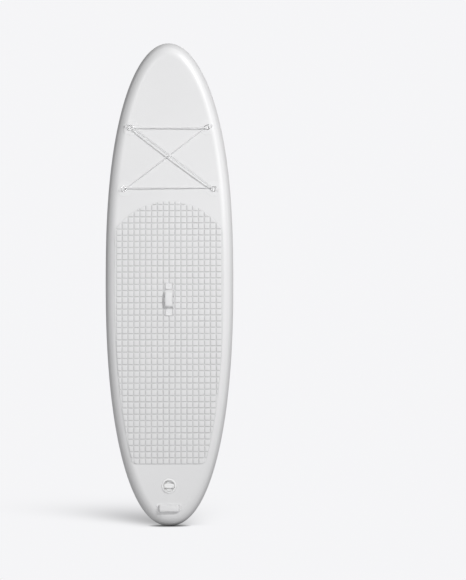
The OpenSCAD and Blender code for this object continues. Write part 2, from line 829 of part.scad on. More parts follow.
FIN_TAB_HALF = 4.7;       // half the thickness of the tab inside the slot
FIN_TAB_Y = [-66, 89];
FIN_TAB_LOW = 8.5;
ROOT_Y = -62;             // where the blade's leading edge starts
TONGUE_END = -89;
TONGUE_Z = [20, 23.5];
SCREW_Y = -79;
PIN_Y = 76;
PIN_Z = (GROOVE_Z[0] + GROOVE_Z[1]) / 2;
PIN_R = 2.4;
PIN_CLEAR = 0.05;
SCREW_R = 2;
module fin_frame() {
    at_bottom(0, fin_z)
        translate([0, 0, fin_seat])
            children();
}
module centre_fin() {
    root_z = box_h + root_gap;
    color(PVC_GREY)
        fin_frame()
            difference() {
                union() {
                    translate([0, ROOT_Y, root_z])
                        blade(180, fin_depth, 165, 11);
                    translate([-FIN_TAB_HALF, FIN_TAB_Y[0], FIN_TAB_LOW])
                        cube([2 * FIN_TAB_HALF, FIN_TAB_Y[1] - FIN_TAB_Y[0],
                              root_z + 0.6 - FIN_TAB_LOW]);
                    translate([-FIN_TAB_HALF, TONGUE_END, TONGUE_Z[0]])
                        cube([2 * FIN_TAB_HALF, FIN_TAB_Y[0] - TONGUE_END + 1,
                              TONGUE_Z[1] - TONGUE_Z[0]]);
                }
                translate([0, PIN_Y, PIN_Z])
                    rotate([0, 90, 0])
                        cylinder(r = PIN_R + PIN_CLEAR, h = 4 * FIN_TAB_HALF, center = true);
                translate([0, SCREW_Y, TONGUE_Z[0] - 1])
                    cylinder(r = SCREW_R + 0.2, h = BASE_T + 3);
            }
}
module fin_pin() {
    color(BRASS)
        fin_frame()
            translate([0, PIN_Y, PIN_Z])
                rotate([0, 90, 0])
                    cylinder(r = PIN_R, h = GROOVE_W - 0.6, center = true);
}
NUT_T = 3.2;
NUT_TOP = GROOVE_Z[1] - 0.2;
module fin_plate_nut() {
    color(BRASS)
        fin_frame()
            translate([0, SCREW_Y, 0])
                difference() {
                    block([GROOVE_W - 0.6, GROOVE_ENTRY - 2, NUT_T], NUT_TOP - NUT_T);
                    translate([0, 0, NUT_TOP - NUT_T - 1])
                        cylinder(r = SCREW_R + PIN_CLEAR, h = NUT_T + 2);
                }
}
SCREW_LOW = 9.5;
SCREW_HEAD = [3.9, 2.6];  // radius, height
module fin_screw() {
    head_z = TONGUE_Z[1] + 0.1;
    color(STEEL)
        fin_frame()
            translate([0, SCREW_Y, 0])
                difference() {
                    union() {
                        translate([0, 0, SCREW_LOW])
                            cylinder(r = SCREW_R, h = head_z - SCREW_LOW);
                        translate([0, 0, head_z])
                            cylinder(r = SCREW_HEAD[0], h = SCREW_HEAD[1]);
                    }
                    block([9, 1.2, 3], head_z + 1.4);
                }
}

SIDE_PATCH = [190, 70];
SIDE_BASE = [150, 34];
SIDE_ROOT_Y = -58;
module side_fin_patches() {
    color(PVC_WHITE)
        for (s = [-1, 1])
            at_bottom(s * side_fin_x, side_fin_z)
                translate([0, 0, GLUE])
                    stadium(SIDE_PATCH[0], SIDE_PATCH[1], PATCH_T);
}
module side_fin(s) {
    color(PVC_GREY)
        at_bottom(s * side_fin_x, side_fin_z)
            translate([0, 0, fin_seat]) {
                stadium(SIDE_BASE[0], SIDE_BASE[1], BASE_T);
                translate([0, SIDE_ROOT_Y, BASE_T - 0.5])
                    blade(112, 105, 62, 9);
            }
}

deck_skin();
bottom_skin();
deck_weave();
bottom_weave();
drop_stitch_threads();
inner_rail_wall();
outer_rail_band();
traction_pad();
carry_handle_patches();
carry_handle_webbing();
carry_handle_grip();
carry_handle_tabs();
tail_handle_patch();
tail_handle_webbing();
tail_handle_grip();
cargo_patches();
cargo_ring_tabs();
cargo_ring(TOP_LEFT);  // cargo_ring_top_left
cargo_ring(TOP_RIGHT);  // cargo_ring_top_right
cargo_ring(BOTTOM_LEFT);  // cargo_ring_bottom_left
cargo_ring(BOTTOM_RIGHT);  // cargo_ring_bottom_right
bungee_cord();
valve_housing();
valve_gasket();
valve_clamp_nut();
valve_seal_disc();
valve_seal_clip();
valve_stem();
valve_spring();
valve_cap();
valve_cap_o_ring();
valve_tether_ring();
valve_tether_strap();
fin_box_patch();
fin_box();
centre_fin();
fin_pin();
fin_screw();
fin_plate_nut();
side_fin_patches();
side_fin(-1);  // left_side_fin
side_fin(1);  // right_side_fin
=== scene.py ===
"""Looks of the stand up paddleboard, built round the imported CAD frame. Metres, +Z up the board."""
import json
import math

import bmesh
import bpy
import numpy as np
from mathutils import Vector, geometry
from mathutils.bvhtree import BVHTree
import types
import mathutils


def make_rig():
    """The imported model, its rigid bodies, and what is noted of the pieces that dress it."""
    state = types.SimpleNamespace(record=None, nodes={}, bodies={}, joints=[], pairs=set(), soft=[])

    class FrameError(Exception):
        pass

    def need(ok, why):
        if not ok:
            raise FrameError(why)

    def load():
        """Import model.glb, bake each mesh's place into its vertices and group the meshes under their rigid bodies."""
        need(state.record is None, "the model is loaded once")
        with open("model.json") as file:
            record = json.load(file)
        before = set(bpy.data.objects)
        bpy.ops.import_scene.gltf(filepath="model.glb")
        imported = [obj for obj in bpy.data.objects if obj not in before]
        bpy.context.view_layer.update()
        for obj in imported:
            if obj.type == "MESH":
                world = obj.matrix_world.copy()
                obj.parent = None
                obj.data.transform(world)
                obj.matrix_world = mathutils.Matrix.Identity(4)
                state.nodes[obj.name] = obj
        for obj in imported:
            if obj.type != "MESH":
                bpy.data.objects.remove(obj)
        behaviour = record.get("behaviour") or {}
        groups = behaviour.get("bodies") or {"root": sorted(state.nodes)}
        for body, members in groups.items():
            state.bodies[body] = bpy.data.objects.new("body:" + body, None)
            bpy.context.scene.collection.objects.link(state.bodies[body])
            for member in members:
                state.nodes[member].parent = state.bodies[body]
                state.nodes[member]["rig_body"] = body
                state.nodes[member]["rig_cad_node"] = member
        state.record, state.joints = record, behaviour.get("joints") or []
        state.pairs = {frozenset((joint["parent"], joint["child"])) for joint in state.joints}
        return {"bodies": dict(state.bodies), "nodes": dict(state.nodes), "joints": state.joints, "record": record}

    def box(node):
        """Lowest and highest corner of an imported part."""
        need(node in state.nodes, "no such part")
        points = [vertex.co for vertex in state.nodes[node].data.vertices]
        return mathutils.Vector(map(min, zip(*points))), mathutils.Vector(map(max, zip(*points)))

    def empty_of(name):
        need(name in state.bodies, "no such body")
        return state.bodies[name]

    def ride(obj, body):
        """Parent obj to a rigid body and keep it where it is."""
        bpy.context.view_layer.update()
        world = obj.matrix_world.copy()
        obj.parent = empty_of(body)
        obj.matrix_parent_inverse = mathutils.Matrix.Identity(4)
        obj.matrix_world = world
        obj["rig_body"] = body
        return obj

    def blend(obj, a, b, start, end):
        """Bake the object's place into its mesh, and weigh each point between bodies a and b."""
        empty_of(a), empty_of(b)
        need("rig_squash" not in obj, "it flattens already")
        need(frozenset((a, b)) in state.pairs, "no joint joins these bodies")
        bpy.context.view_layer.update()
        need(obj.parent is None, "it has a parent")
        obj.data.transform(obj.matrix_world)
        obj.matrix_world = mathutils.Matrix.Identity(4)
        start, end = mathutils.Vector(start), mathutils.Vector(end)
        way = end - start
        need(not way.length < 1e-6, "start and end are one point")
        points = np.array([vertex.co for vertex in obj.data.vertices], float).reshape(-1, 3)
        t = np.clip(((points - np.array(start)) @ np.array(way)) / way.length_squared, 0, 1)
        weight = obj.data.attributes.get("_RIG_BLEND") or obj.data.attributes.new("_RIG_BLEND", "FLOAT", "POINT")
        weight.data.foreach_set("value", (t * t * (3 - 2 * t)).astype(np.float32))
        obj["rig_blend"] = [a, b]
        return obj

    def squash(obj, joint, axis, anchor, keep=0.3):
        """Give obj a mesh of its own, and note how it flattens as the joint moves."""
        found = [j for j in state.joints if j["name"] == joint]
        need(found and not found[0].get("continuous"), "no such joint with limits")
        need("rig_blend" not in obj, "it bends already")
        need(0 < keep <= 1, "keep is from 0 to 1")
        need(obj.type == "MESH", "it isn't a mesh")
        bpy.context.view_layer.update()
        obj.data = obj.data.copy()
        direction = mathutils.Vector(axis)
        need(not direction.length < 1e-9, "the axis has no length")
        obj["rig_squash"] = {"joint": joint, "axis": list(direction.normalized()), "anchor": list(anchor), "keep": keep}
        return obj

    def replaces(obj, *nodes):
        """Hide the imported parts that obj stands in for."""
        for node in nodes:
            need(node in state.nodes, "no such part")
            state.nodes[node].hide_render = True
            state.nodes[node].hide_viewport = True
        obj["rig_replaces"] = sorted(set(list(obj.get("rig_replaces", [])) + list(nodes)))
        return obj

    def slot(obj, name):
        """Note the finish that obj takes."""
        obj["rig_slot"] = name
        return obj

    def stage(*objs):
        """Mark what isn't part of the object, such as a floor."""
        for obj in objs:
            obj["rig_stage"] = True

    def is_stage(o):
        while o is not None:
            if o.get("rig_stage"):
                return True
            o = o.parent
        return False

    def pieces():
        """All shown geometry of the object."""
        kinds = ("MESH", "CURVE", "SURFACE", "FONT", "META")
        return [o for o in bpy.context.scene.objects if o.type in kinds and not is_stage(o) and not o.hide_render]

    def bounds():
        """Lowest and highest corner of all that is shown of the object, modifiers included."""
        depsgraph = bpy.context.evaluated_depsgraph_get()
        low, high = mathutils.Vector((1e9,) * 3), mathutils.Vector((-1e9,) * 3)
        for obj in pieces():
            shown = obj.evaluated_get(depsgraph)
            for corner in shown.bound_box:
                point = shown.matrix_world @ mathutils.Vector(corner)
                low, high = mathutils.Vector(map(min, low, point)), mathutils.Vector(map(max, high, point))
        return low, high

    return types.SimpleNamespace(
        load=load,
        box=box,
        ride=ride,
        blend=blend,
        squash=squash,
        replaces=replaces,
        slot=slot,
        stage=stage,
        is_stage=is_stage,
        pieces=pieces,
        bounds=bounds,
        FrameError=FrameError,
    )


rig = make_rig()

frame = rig.load()
CAD_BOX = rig.bounds()
JOINTS = {j["name"]: j for j in frame["joints"]}
MM = 0.001


def centre(node):
    low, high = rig.box(node)
    return (low + high) / 2


def extent(node):
    low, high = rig.box(node)
    return high - low


# ---- the hull's form, with the CAD model's own driving dimensions ----

LENGTH = 3.048
WIDEST_Z = 1.560
KICK_Z = 2.055
NOSE_KICK = 0.150
KICK_POW = 2.2
NOSE_POWS = (2.0, 2.5)
TAIL_POWS = (2 / 0.9, 2.26)
BAND_T = 1.0 * MM
SKIN_T = 1.2 * MM
WIDTH = extent("outer_rail_band").x
HULL_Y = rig.box("deck_skin")[1].y
HALF_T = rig.box("bottom_skin")[1].y - HULL_Y
RAIL_R = HALF_T + BAND_T
STATIONS = 400


def signed_pow(v, p):
    return np.sign(v) * np.abs(v) ** p


def outline_shape(a):
    """Exponents across and along the board, and the reach to its end, at outline angle a."""
    nose = np.sin(a) >= 0
    across = np.where(nose, NOSE_POWS[0], TAIL_POWS[0])
    along = np.where(nose, NOSE_POWS[1], TAIL_POWS[1])
    return across, along, np.where(nose, LENGTH - WIDEST_Z, WIDEST_Z)


def inset_edge(a, inset):
    """(x, z) of the outline moved inwards, and its outward normal."""
    p, q, reach = outline_shape(a)
    c, s = np.cos(a), np.sin(a)
    x = WIDTH / 2 * signed_pow(c, 2 / p)
    z = WIDEST_Z + reach * signed_pow(s, 2 / q)
    nx = p / (WIDTH / 2) * signed_pow(c, 2 - 2 / p)
    nz = q / reach * signed_pow(s, 2 - 2 / q)
    size = np.hypot(nx, nz)
    nx, nz = nx / size, nz / size
    return x - inset * nx, z - inset * nz, nx, nz


def kick(z):
    return NOSE_KICK * np.maximum(0, (z - KICK_Z) / (LENGTH - KICK_Z)) ** KICK_POW


def kick_angle(z):
    share = np.maximum(0, (z - KICK_Z) / (LENGTH - KICK_Z))
    return np.arctan(NOSE_KICK * KICK_POW / (LENGTH - KICK_Z) * share ** (KICK_POW - 1))


def even_stations():
    """Outline angles from the nose round to the nose, evenly spaced along the edge, left as right."""
    fine = np.linspace(math.pi / 2, -math.pi / 2, 8000)
    x, z, _, _ = inset_edge(fine, 0)
    run = np.concatenate([[0], np.cumsum(np.hypot(np.diff(x), np.diff(z)))])
    right = np.interp(np.linspace(0, run[-1], STATIONS // 2 + 1), run, fine)
    left = math.pi - right[-2:0:-1]
    return np.concatenate([right, left])


ANGLES = even_stations()


def wall(rails, lift):
    """Points on the hull's wall, one row per station. rails: 90 deck, 0 edge, -90 bottom, in degrees."""
    rail = np.radians(np.asarray(rails, float))[None, :]
    mx, mz, nx, nz = (v[:, None] for v in inset_edge(ANGLES, RAIL_R))
    t = kick_angle(mz)
    out = (RAIL_R + lift) * np.cos(rail)
    up = (RAIL_R + lift) * np.sin(rail)
    return np.stack([mx + out * nx,
                     HULL_Y - kick(mz) - out * nz * np.sin(t) - up * np.cos(t),
                     mz + out * nz * np.cos(t) - up * np.sin(t)], -1)


# ---- local frames ----

class Place:
    """A local frame: +Z away from the skin."""

    def __init__(self, origin, x, y, z):
        self.origin = np.array(origin, float)
        self.axes = np.array([x, y, z], float)

    def world(self, points):
        return self.origin + np.asarray(points, float) @ self.axes

    def turned(self, degrees):
        c, s = math.cos(math.radians(degrees)), math.sin(math.radians(degrees))
        x, y, z = self.axes
        return Place(self.origin, c * x + s * y, -s * x + c * y, z)

    def moved(self, x=0.0, y=0.0, z=0.0):
        return Place(self.world([x, y, z]), *self.axes)


def deck_place(x, z):
    t = float(kick_angle(np.float64(z)))
    s, c = math.sin(t), math.cos(t)
    origin = (x, HULL_Y - float(kick(np.float64(z))) - HALF_T * c, z - HALF_T * s)
    return Place(origin, (1, 0, 0), (0, -s, c), (0, -c, -s))


def bottom_place(x, z):
    return Place((x, HULL_Y + HALF_T, z), (1, 0, 0), (0, 0, -1), (0, 1, 0))


# ---- mesh building ----

def make(name, verts, faces, material, uv=None, angle=38):
    """A mesh object from points and faces, with outward normals and smooth shading up to an angle."""
    mesh = bpy.data.meshes.new(name)
    mesh.from_pydata([tuple(map(float, v)) for v in verts], [], [tuple(map(int, f)) for f in faces])
    if uv is not None:
        layer = mesh.uv_layers.new(name="UVMap")
        layer.data.foreach_set("uv", np.asarray(uv, np.float32).ravel())
    bm = bmesh.new()
    bm.from_mesh(mesh)
    bmesh.ops.remove_doubles(bm, verts=bm.verts, dist=1e-6)
    bmesh.ops.recalc_face_normals(bm, faces=bm.faces)
    bm.to_mesh(mesh)
    bm.free()
    shade(mesh, angle)
    mesh.materials.append(material)
    obj = bpy.data.objects.new(name, mesh)
    bpy.context.scene.collection.objects.link(obj)
    return obj


def shade(mesh, angle):
    mesh.shade_smooth()
    mesh.set_sharp_from_angle(angle=math.radians(angle))


def joined(name, parts):
    """One object from several, with the first one's material slots kept in order."""
    bm = bmesh.new()
    slots = []
    for part in parts:
        material = part.data.materials[0]
        if material not in slots:
            slots.append(material)
        for face in part.data.polygons:
            face.material_index = slots.index(material)
        bm.from_mesh(part.data)
    mesh = bpy.data.meshes.new(name)
    bm.to_mesh(mesh)
    bm.free()
    for part in parts:
        bpy.data.objects.remove(part)
    for material in slots:
        mesh.materials.append(material)
    obj = bpy.data.objects.new(name, mesh)
    bpy.context.scene.collection.objects.link(obj)
    return obj


def apply_modifiers(obj, angle=38):
    """Replaces the object's mesh by its evaluated one."""
    graph = bpy.context.evaluated_depsgraph_get()
    graph.update()
    mesh = bpy.data.meshes.new_from_object(obj.evaluated_get(graph))
    obj.modifiers.clear()
    obj.data = mesh
    shade(mesh, angle)


def cut(obj, cutters):
    """Takes the cutters' volumes out of the object."""
    for cutter in cutters:
        modifier = obj.modifiers.new("cut", "BOOLEAN")
        modifier.operation = "DIFFERENCE"
        modifier.solver = "EXACT"
        modifier.object = cutter
    apply_modifiers(obj)
    for cutter in cutters:
        bpy.data.objects.remove(cutter)


def wall_layer(name, rails, outer, inner, material, sheet=None):
    """A closed layer of the hull's wall; sheet carries it across at its "first" or "last" rail angle."""
    n = len(rails)
    verts = np.stack([wall(rails, outer), wall(rails, inner)], 1).reshape(-1, 3)
    faces = []

    def at(k, side, j):
        return ((k % STATIONS) * 2 + side) * n + j

    for k in range(STATIONS):
        for j in range(n - 1):
            for side in (0, 1):
                faces.append((at(k, side, j), at(k, side, j + 1), at(k + 1, side, j + 1), at(k + 1, side, j)))
        for j, word in ((0, "first"), (n - 1, "last")):
            if sheet != word:
                faces.append((at(k, 0, j), at(k, 1, j), at(k + 1, 1, j), at(k + 1, 0, j)))
    if sheet:
        j = 0 if sheet == "first" else n - 1
        half = STATIONS // 2
        for side in (0, 1):
            for k in range(half):
                right = [at(k, side, j), at(k + 1, side, j)]
                left = [at(STATIONS - k - 1, side, j), at(STATIONS - k, side, j)]
                faces.append(tuple(dict.fromkeys(right + left)))
    return make(name, verts, faces, material, angle=50)


def fillet(points, radii, steps=4, closed=True):
    """A polygon's corners rounded, each by a short curve."""
    pts = [np.array(p, float) for p in points]
    out = []
    for i, p in enumerate(pts):
        r = radii[i] if hasattr(radii, "__len__") else radii
        at_end = not closed and i in (0, len(pts) - 1)
        a, b = pts[i - 1] - p, pts[(i + 1) % len(pts)] - p
        la, lb = np.linalg.norm(a), np.linalg.norm(b)
        half = math.acos(np.clip(a @ b / max(la * lb, 1e-18), -1, 1)) / 2
        if r <= 0 or at_end or half > 1.55:
            out.append(p)
            continue
        d = min(r / math.tan(half), 0.49 * la, 0.49 * lb)
        first, last = p + a / la * d, p + b / lb * d
        for t in np.linspace(0, 1, steps + 1):
            out.append((1 - t) ** 2 * first + 2 * t * (1 - t) * p + t * t * last)
    return np.array(out)


def grid_solid(name, points, material, closed=False, angle=38):
    """A skin over rings of points (ring, point, xyz), capped at its ends unless closed. UVs are in metres."""
    n, m, _ = points.shape
    ring = np.concatenate([points, points[:, :1]], 1)
    u = np.concatenate([np.zeros((n, 1)), np.cumsum(np.linalg.norm(np.diff(ring, axis=1), axis=2), 1)], 1)
    path = points.mean(1)
    path = np.concatenate([path, path[:1]])
    v = np.concatenate([[0], np.cumsum(np.linalg.norm(np.diff(path, axis=0), axis=1))])
    faces, uv = [], []
    for i in range(n if closed else n - 1):
        k = (i + 1) % n
        for j in range(m):
            q = (j + 1) % m
            faces.append((i * m + j, k * m + j, k * m + q, i * m + q))
            uv += [(u[i, j], v[i]), (u[k, j], v[i + 1]), (u[k, j + 1], v[i + 1]), (u[i, j + 1], v[i])]
    if not closed:
        for i in (0, n - 1):
            faces.append(tuple(i * m + j for j in range(m)))
            uv += [(0.0, v[i])] * m
    return make(name, points.reshape(-1, 3), faces, material, uv, angle)


def tangents(path, closed=False):
    path = np.asarray(path, float)
    if closed:
        t = np.roll(path, -1, 0) - np.roll(path, 1, 0)
    else:
        t = np.gradient(path, axis=0)
    return t / np.linalg.norm(t, axis=1, keepdims=True)


def sweep(name, path, side, section, material, closed=False, angle=38, taper=None):
    """A section of (across, up) pairs carried along a path; side is the direction across."""
    path = np.asarray(path, float)
    t = tangents(path, closed)
    side = np.asarray(side, float)
    across = side - (t @ side)[:, None] * t
    across /= np.linalg.norm(across, axis=1, keepdims=True)
    up = np.cross(across, t)
    section = np.asarray(section, float)
    size = np.ones((len(path), 2)) if taper is None else np.asarray(taper, float)
    points = (path[:, None]
              + (section[None, :, 0] * size[:, None, 0])[..., None] * across[:, None]
              + (section[None, :, 1] * size[:, None, 1])[..., None] * up[:, None])
    return grid_solid(name, points, material, closed, angle)


def circle(r, sides):
    a = np.linspace(0, 2 * math.pi, sides, endpoint=False)
    return np.stack([r * np.cos(a), r * np.sin(a)], 1)


def smooth_curve(points, steps=6, closed=False):
    """A Catmull-Rom curve through the points."""
    p = np.asarray(points, float)
    if closed:
        p = np.concatenate([p[-1:], p, p[:2]])
    else:
        p = np.concatenate([2 * p[:1] - p[1:2], p, 2 * p[-1:] - p[-2:-1]])
    out = []
    for i in range(1, len(p) - 2):
        for t in np.linspace(0, 1, steps, endpoint=False):
            out.append(0.5 * (2 * p[i] + (p[i + 1] - p[i - 1]) * t
                              + (2 * p[i - 1] - 5 * p[i] + 4 * p[i + 1] - p[i + 2]) * t ** 2
                              + (3 * p[i] - p[i - 1] - 3 * p[i + 1] + p[i + 2]) * t ** 3))
    if not closed:
        out.append(p[-2])
    return np.array(out)


def lathe(name, profile, place, material, segments=96, angle=38):
    """A closed profile of (radius, height) turned about the place's Z."""
    a = np.linspace(0, 2 * math.pi, segments, endpoint=False)
    profile = np.asarray(profile, float)
    x = profile[None, :, 0] * np.cos(a)[:, None]
    y = profile[None, :, 0] * np.sin(a)[:, None]
    z = np.broadcast_to(profile[None, :, 1], x.shape)
    return grid_solid(name, place.world(np.stack([x, y, z], -1)), material, closed=True, angle=angle)


def rounded_rect(w, h, r, steps=8):
    """A rectangle with round corners, about the origin, counter-clockwise."""
    r = max(min(r, w / 2, h / 2), 1e-5)
    out = []
    for quarter, (sx, sy) in enumerate(((1, 1), (-1, 1), (-1, -1), (1, -1))):
        for t in np.linspace(0, math.pi / 2, steps):
            a = t + quarter * math.pi / 2
            out.append((sx * (w / 2 - r) + r * math.cos(a), sy * (h / 2 - r) + r * math.sin(a)))
    return np.array(out)


def plate(name, size, radius, low, top, place, material, edge=0.5 * MM, drape=None, rings=5, steps=10):
    """A flat plate with round corners and softened edges. drape lays it on a surface."""
    w, h = size
    short = min(w, h) / 2
    insets = [short * (1 - f) for f in np.linspace(0.02, 0.97, rings)]
    soft = [(edge * (1 - math.cos(b)), edge * (1 - math.sin(b))) for b in np.linspace(0, math.pi / 2, 4)]
    levels = [(i, low) for i in insets] + [(0, low)]
    levels += [(i, top - drop) for i, drop in soft]
    levels += [(i, top) for i in reversed(insets)]
    loops = []
    for inset, height in levels:
        ring = rounded_rect(w - 2 * inset, h - 2 * inset, max(radius - inset, 0.2 * MM), steps)
        loops.append(np.column_stack([ring, np.full(len(ring), height)]))
    points = np.array(loops)
    if drape:
        points = drape(points.reshape(-1, 3), place).reshape(points.shape)
    else:
        points = place.world(points)
    return grid_solid(name, points, material)


def surface_of(obj):
    return BVHTree.FromPolygons([v.co for v in obj.data.vertices],
                                [list(p.vertices) for p in obj.data.polygons])


def draper(tree):
    """Lays local points on a surface: their height counts from it, along its normal."""
    far = 0.08

    def lay(points, place):
        out = []
        down = Vector(-place.axes[2])
        for x, y, h in points:
            start = Vector(place.world([x, y, far]))
            hit, normal, _, _ = tree.ray_cast(start, down, 2 * far)
            if hit is None:
                out.append(place.world([x, y, h]))
                continue
            if normal.dot(down) > 0:
                normal = -normal
            out.append(np.array(hit) + h * np.array(normal))
        return np.array(out)
    return lay


def point_along(row, run, distance):
    return np.array([np.interp(distance, run, row[:, k]) for k in range(3)])


def thread_rows(name, rows, material, pitch=4.0 * MM, length=3.0 * MM, r=0.38 * MM):
    """Sewing: one small rounded stitch after the other along rows of (points, surface normal)."""
    rings = [(-0.5, 0.25), (-0.42, 0.8), (-0.2, 1.0), (0.2, 1.0), (0.42, 0.8), (0.5, 0.25)]
    sides = 6
    verts, faces = [], []
    for row, normal in rows:
        row = np.asarray(row, float)
        normal = np.asarray(normal, float)
        run = np.concatenate([[0], np.cumsum(np.linalg.norm(np.diff(row, axis=0), axis=1))])
        count = max(1, int(run[-1] / pitch))
        for i in range(count):
            mid = (i + 0.5) * run[-1] / count
            a, b = (point_along(row, run, mid + s * length / 2) for s in (-1, 1))
            along = b - a
            if np.linalg.norm(along) < 1e-6:
                continue
            along /= np.linalg.norm(along)
            across = np.cross(normal, along)
            across /= np.linalg.norm(across)
            up = np.cross(along, across)
            base = len(verts)
            for share, size in rings:
                hub = (a + b) / 2 + along * share * length - up * 0.35 * r * abs(2 * share) ** 2
                for s in range(sides):
                    w = 2 * math.pi * s / sides
                    verts.append(hub + size * r * (math.cos(w) * across + math.sin(w) * up))
            for k in range(len(rings) - 1):
                for s in range(sides):
                    q = (s + 1) % sides
                    faces.append((base + k * sides + s, base + k * sides + q,
                                  base + (k + 1) * sides + q, base + (k + 1) * sides + s))
            faces.append(tuple(base + s for s in reversed(range(sides))))
            faces.append(tuple(base + (len(rings) - 1) * sides + s for s in range(sides)))
    return make(name, verts, faces, material, angle=80)


def box_row(place, w, h, height, r=2 * MM):
    """The closed row of a box stitch, with its normal."""
    ring = rounded_rect(w, h, r, 4)
    ring = np.concatenate([ring, ring[:1]])
    return place.world(np.column_stack([ring, np.full(len(ring), height)])), place.axes[2]


def line_row(place, start, end, height):
    return place.world([[start[0], start[1], height], [end[0], end[1], height]]), place.axes[2]


# ---- materials ----

class Graph:
    """A node tree with short ways to add and link its nodes."""

    def __init__(self, owner):
        owner.use_nodes = True
        self.tree = owner.node_tree

    def add(self, kind, inputs=None, **props):
        node = self.tree.nodes.new(kind)
        for key, value in props.items():
            setattr(node, key, value)
        for key, value in (inputs or {}).items():
            if isinstance(value, bpy.types.NodeSocket):
                self.tree.links.new(value, node.inputs[key])
            else:
                node.inputs[key].default_value = value
        return node

    def math(self, operation, a, b=0.0):
        return self.add("ShaderNodeMath", {0: a, 1: b}, operation=operation).outputs[0]


class Finish(Graph):
    """A node material: a Principled surface and small helpers for its patterns."""

    def __init__(self, name, color, roughness, metallic=0.0, specular=0.5, coords="Object"):
        self.mat = bpy.data.materials.new(name)
        super().__init__(self.mat)
        self.mat.diffuse_color = (*color, 1)
        self.bsdf = self.tree.nodes["Principled BSDF"]
        self.bsdf.inputs["Metallic"].default_value = metallic
        self.bsdf.inputs["Specular IOR Level"].default_value = specular
        self.color = color
        self.rough = roughness
        self.coords = self.add("ShaderNodeTexCoord").outputs[coords]
        self.tints = None
        self.heights = []

    def noise(self, scale, detail=2.0, stretch=(1, 1, 1)):
        """Noise with this many cells to a metre, between 0 and 1."""
        space = self.add("ShaderNodeMapping", {"Vector": self.coords, "Scale": stretch}).outputs[0]
        node = self.add("ShaderNodeTexNoise", {"Vector": space, "Scale": scale, "Detail": detail})
        return node.outputs["Fac"]

    def part(self, axis):
        return self.add("ShaderNodeSeparateXYZ", {"Vector": self.coords}).outputs[axis]

    def ribs(self, axis, pitch):
        """Ribs across one coordinate, between -1 and 1."""
        return self.math("SINE", self.math("MULTIPLY", self.part(axis), 2 * math.pi / pitch))

    def cells(self, scale):
        node = self.add("ShaderNodeTexVoronoi", {"Vector": self.coords, "Scale": scale})
        return node.outputs["Distance"]

    def span(self, value, start, end, low, high):
        return self.add("ShaderNodeMapRange", {0: value, 1: start, 2: end, 3: low, 4: high}).outputs[0]

    def scale_tint(self, factor):
        self.tints = factor if self.tints is None else self.math("MULTIPLY", self.tints, factor)
        return self

    def tint(self, factor, low, high):
        """Multiplies the colour by a value between low and high as factor goes from 0 to 1."""
        return self.scale_tint(self.span(factor, 0.0, 1.0, low, high))

    def relief(self, height, depth):
        """Adds a height pattern, depth in metres from 0 to 1."""
        self.heights.append(self.math("MULTIPLY", height, depth))
        return self

    def roughen(self, factor, low, high):
        self.tree.links.new(self.span(factor, 0.0, 1.0, low, high), self.bsdf.inputs["Roughness"])
        return self

    def sheen(self, weight, roughness=0.5):
        self.bsdf.inputs["Sheen Weight"].default_value = weight
        self.bsdf.inputs["Sheen Roughness"].default_value = roughness
        return self

    def edges(self, amount):
        """Wear and painted shade: convex edges a little lighter from wear, hollows a little darker as painted shade."""
        point = self.add("ShaderNodeNewGeometry").outputs["Pointiness"]
        return self.scale_tint(self.span(point, 0.42, 0.58, 1 - amount, 1 + amount))

    def cavity(self, reach, dark):
        """Hollows within reach of other surfaces go darker, as they do in soft light."""
        node = self.add("ShaderNodeAmbientOcclusion", {"Distance": reach}, samples=8)
        return self.tint(node.outputs["AO"], dark, 1.0)

    def done(self):
        if self.tints is None:
            self.bsdf.inputs["Base Color"].default_value = (*self.color, 1)
        else:
            scaled = self.add("ShaderNodeVectorMath", {0: self.color}, operation="SCALE")
            self.tree.links.new(self.tints, scaled.inputs["Scale"])
            self.tree.links.new(scaled.outputs[0], self.bsdf.inputs["Base Color"])
        if not self.bsdf.inputs["Roughness"].is_linked:
            self.bsdf.inputs["Roughness"].default_value = self.rough
        if self.heights:
            total = self.heights[0]
            for more in self.heights[1:]:
                total = self.math("ADD", total, more)
            bump = self.add("ShaderNodeBump", {"Height": total, "Distance": 1.0, "Strength": 1.0})
            self.tree.links.new(bump.outputs[0], self.bsdf.inputs["Normal"])
        return self.mat


PVC_TONE = (0.76, 0.76, 0.765)


def pvc(name, tone=PVC_TONE, roughness=0.36):
    """PVC-coated cloth: satin, with the base weave printing through and faint clouding."""
    f = Finish(name, tone, roughness)
    weave = f.math("MULTIPLY", f.ribs("X", 1.1 * MM), f.ribs("Z", 1.1 * MM))
    f.relief(weave, 0.012 * MM)
    f.relief(f.noise(260, 3), 0.05 * MM)
    f.relief(f.noise(14, 2), 0.35 * MM)
    f.tint(f.noise(5, 3), 0.985, 1.012)
    f.tint(f.noise(900, 2), 0.985, 1.015)
    f.roughen(f.noise(60, 4), roughness - 0.05, roughness + 0.09)
    return f.done()


def foam():
    """Closed-cell foam: dead matt, fine open pores on the cut face, small tone steps from tile to tile, and painted
    shade darkening the grooves between the tiles.
    """
    f = Finish("eva_foam", (0.755, 0.755, 0.76), 0.88, specular=0.25)
    pores = f.cells(1400)
    f.relief(pores, 0.16 * MM)
    f.relief(f.noise(420, 4), 0.12 * MM)
    f.tint(f.noise(2200, 2), 0.95, 1.03)
    f.tint(f.noise(9, 2), 0.985, 1.015)
    # Tile edges a little lighter as wear, groove hollows a little darker as painted shade.
    f.edges(0.06)
    f.roughen(f.noise(300, 3), 0.82, 0.95)
    # Painted shade: ambient occlusion darkens the grooves between the tiles.
    f.cavity(6 * MM, 0.50)
    return f.sheen(0.12).done()


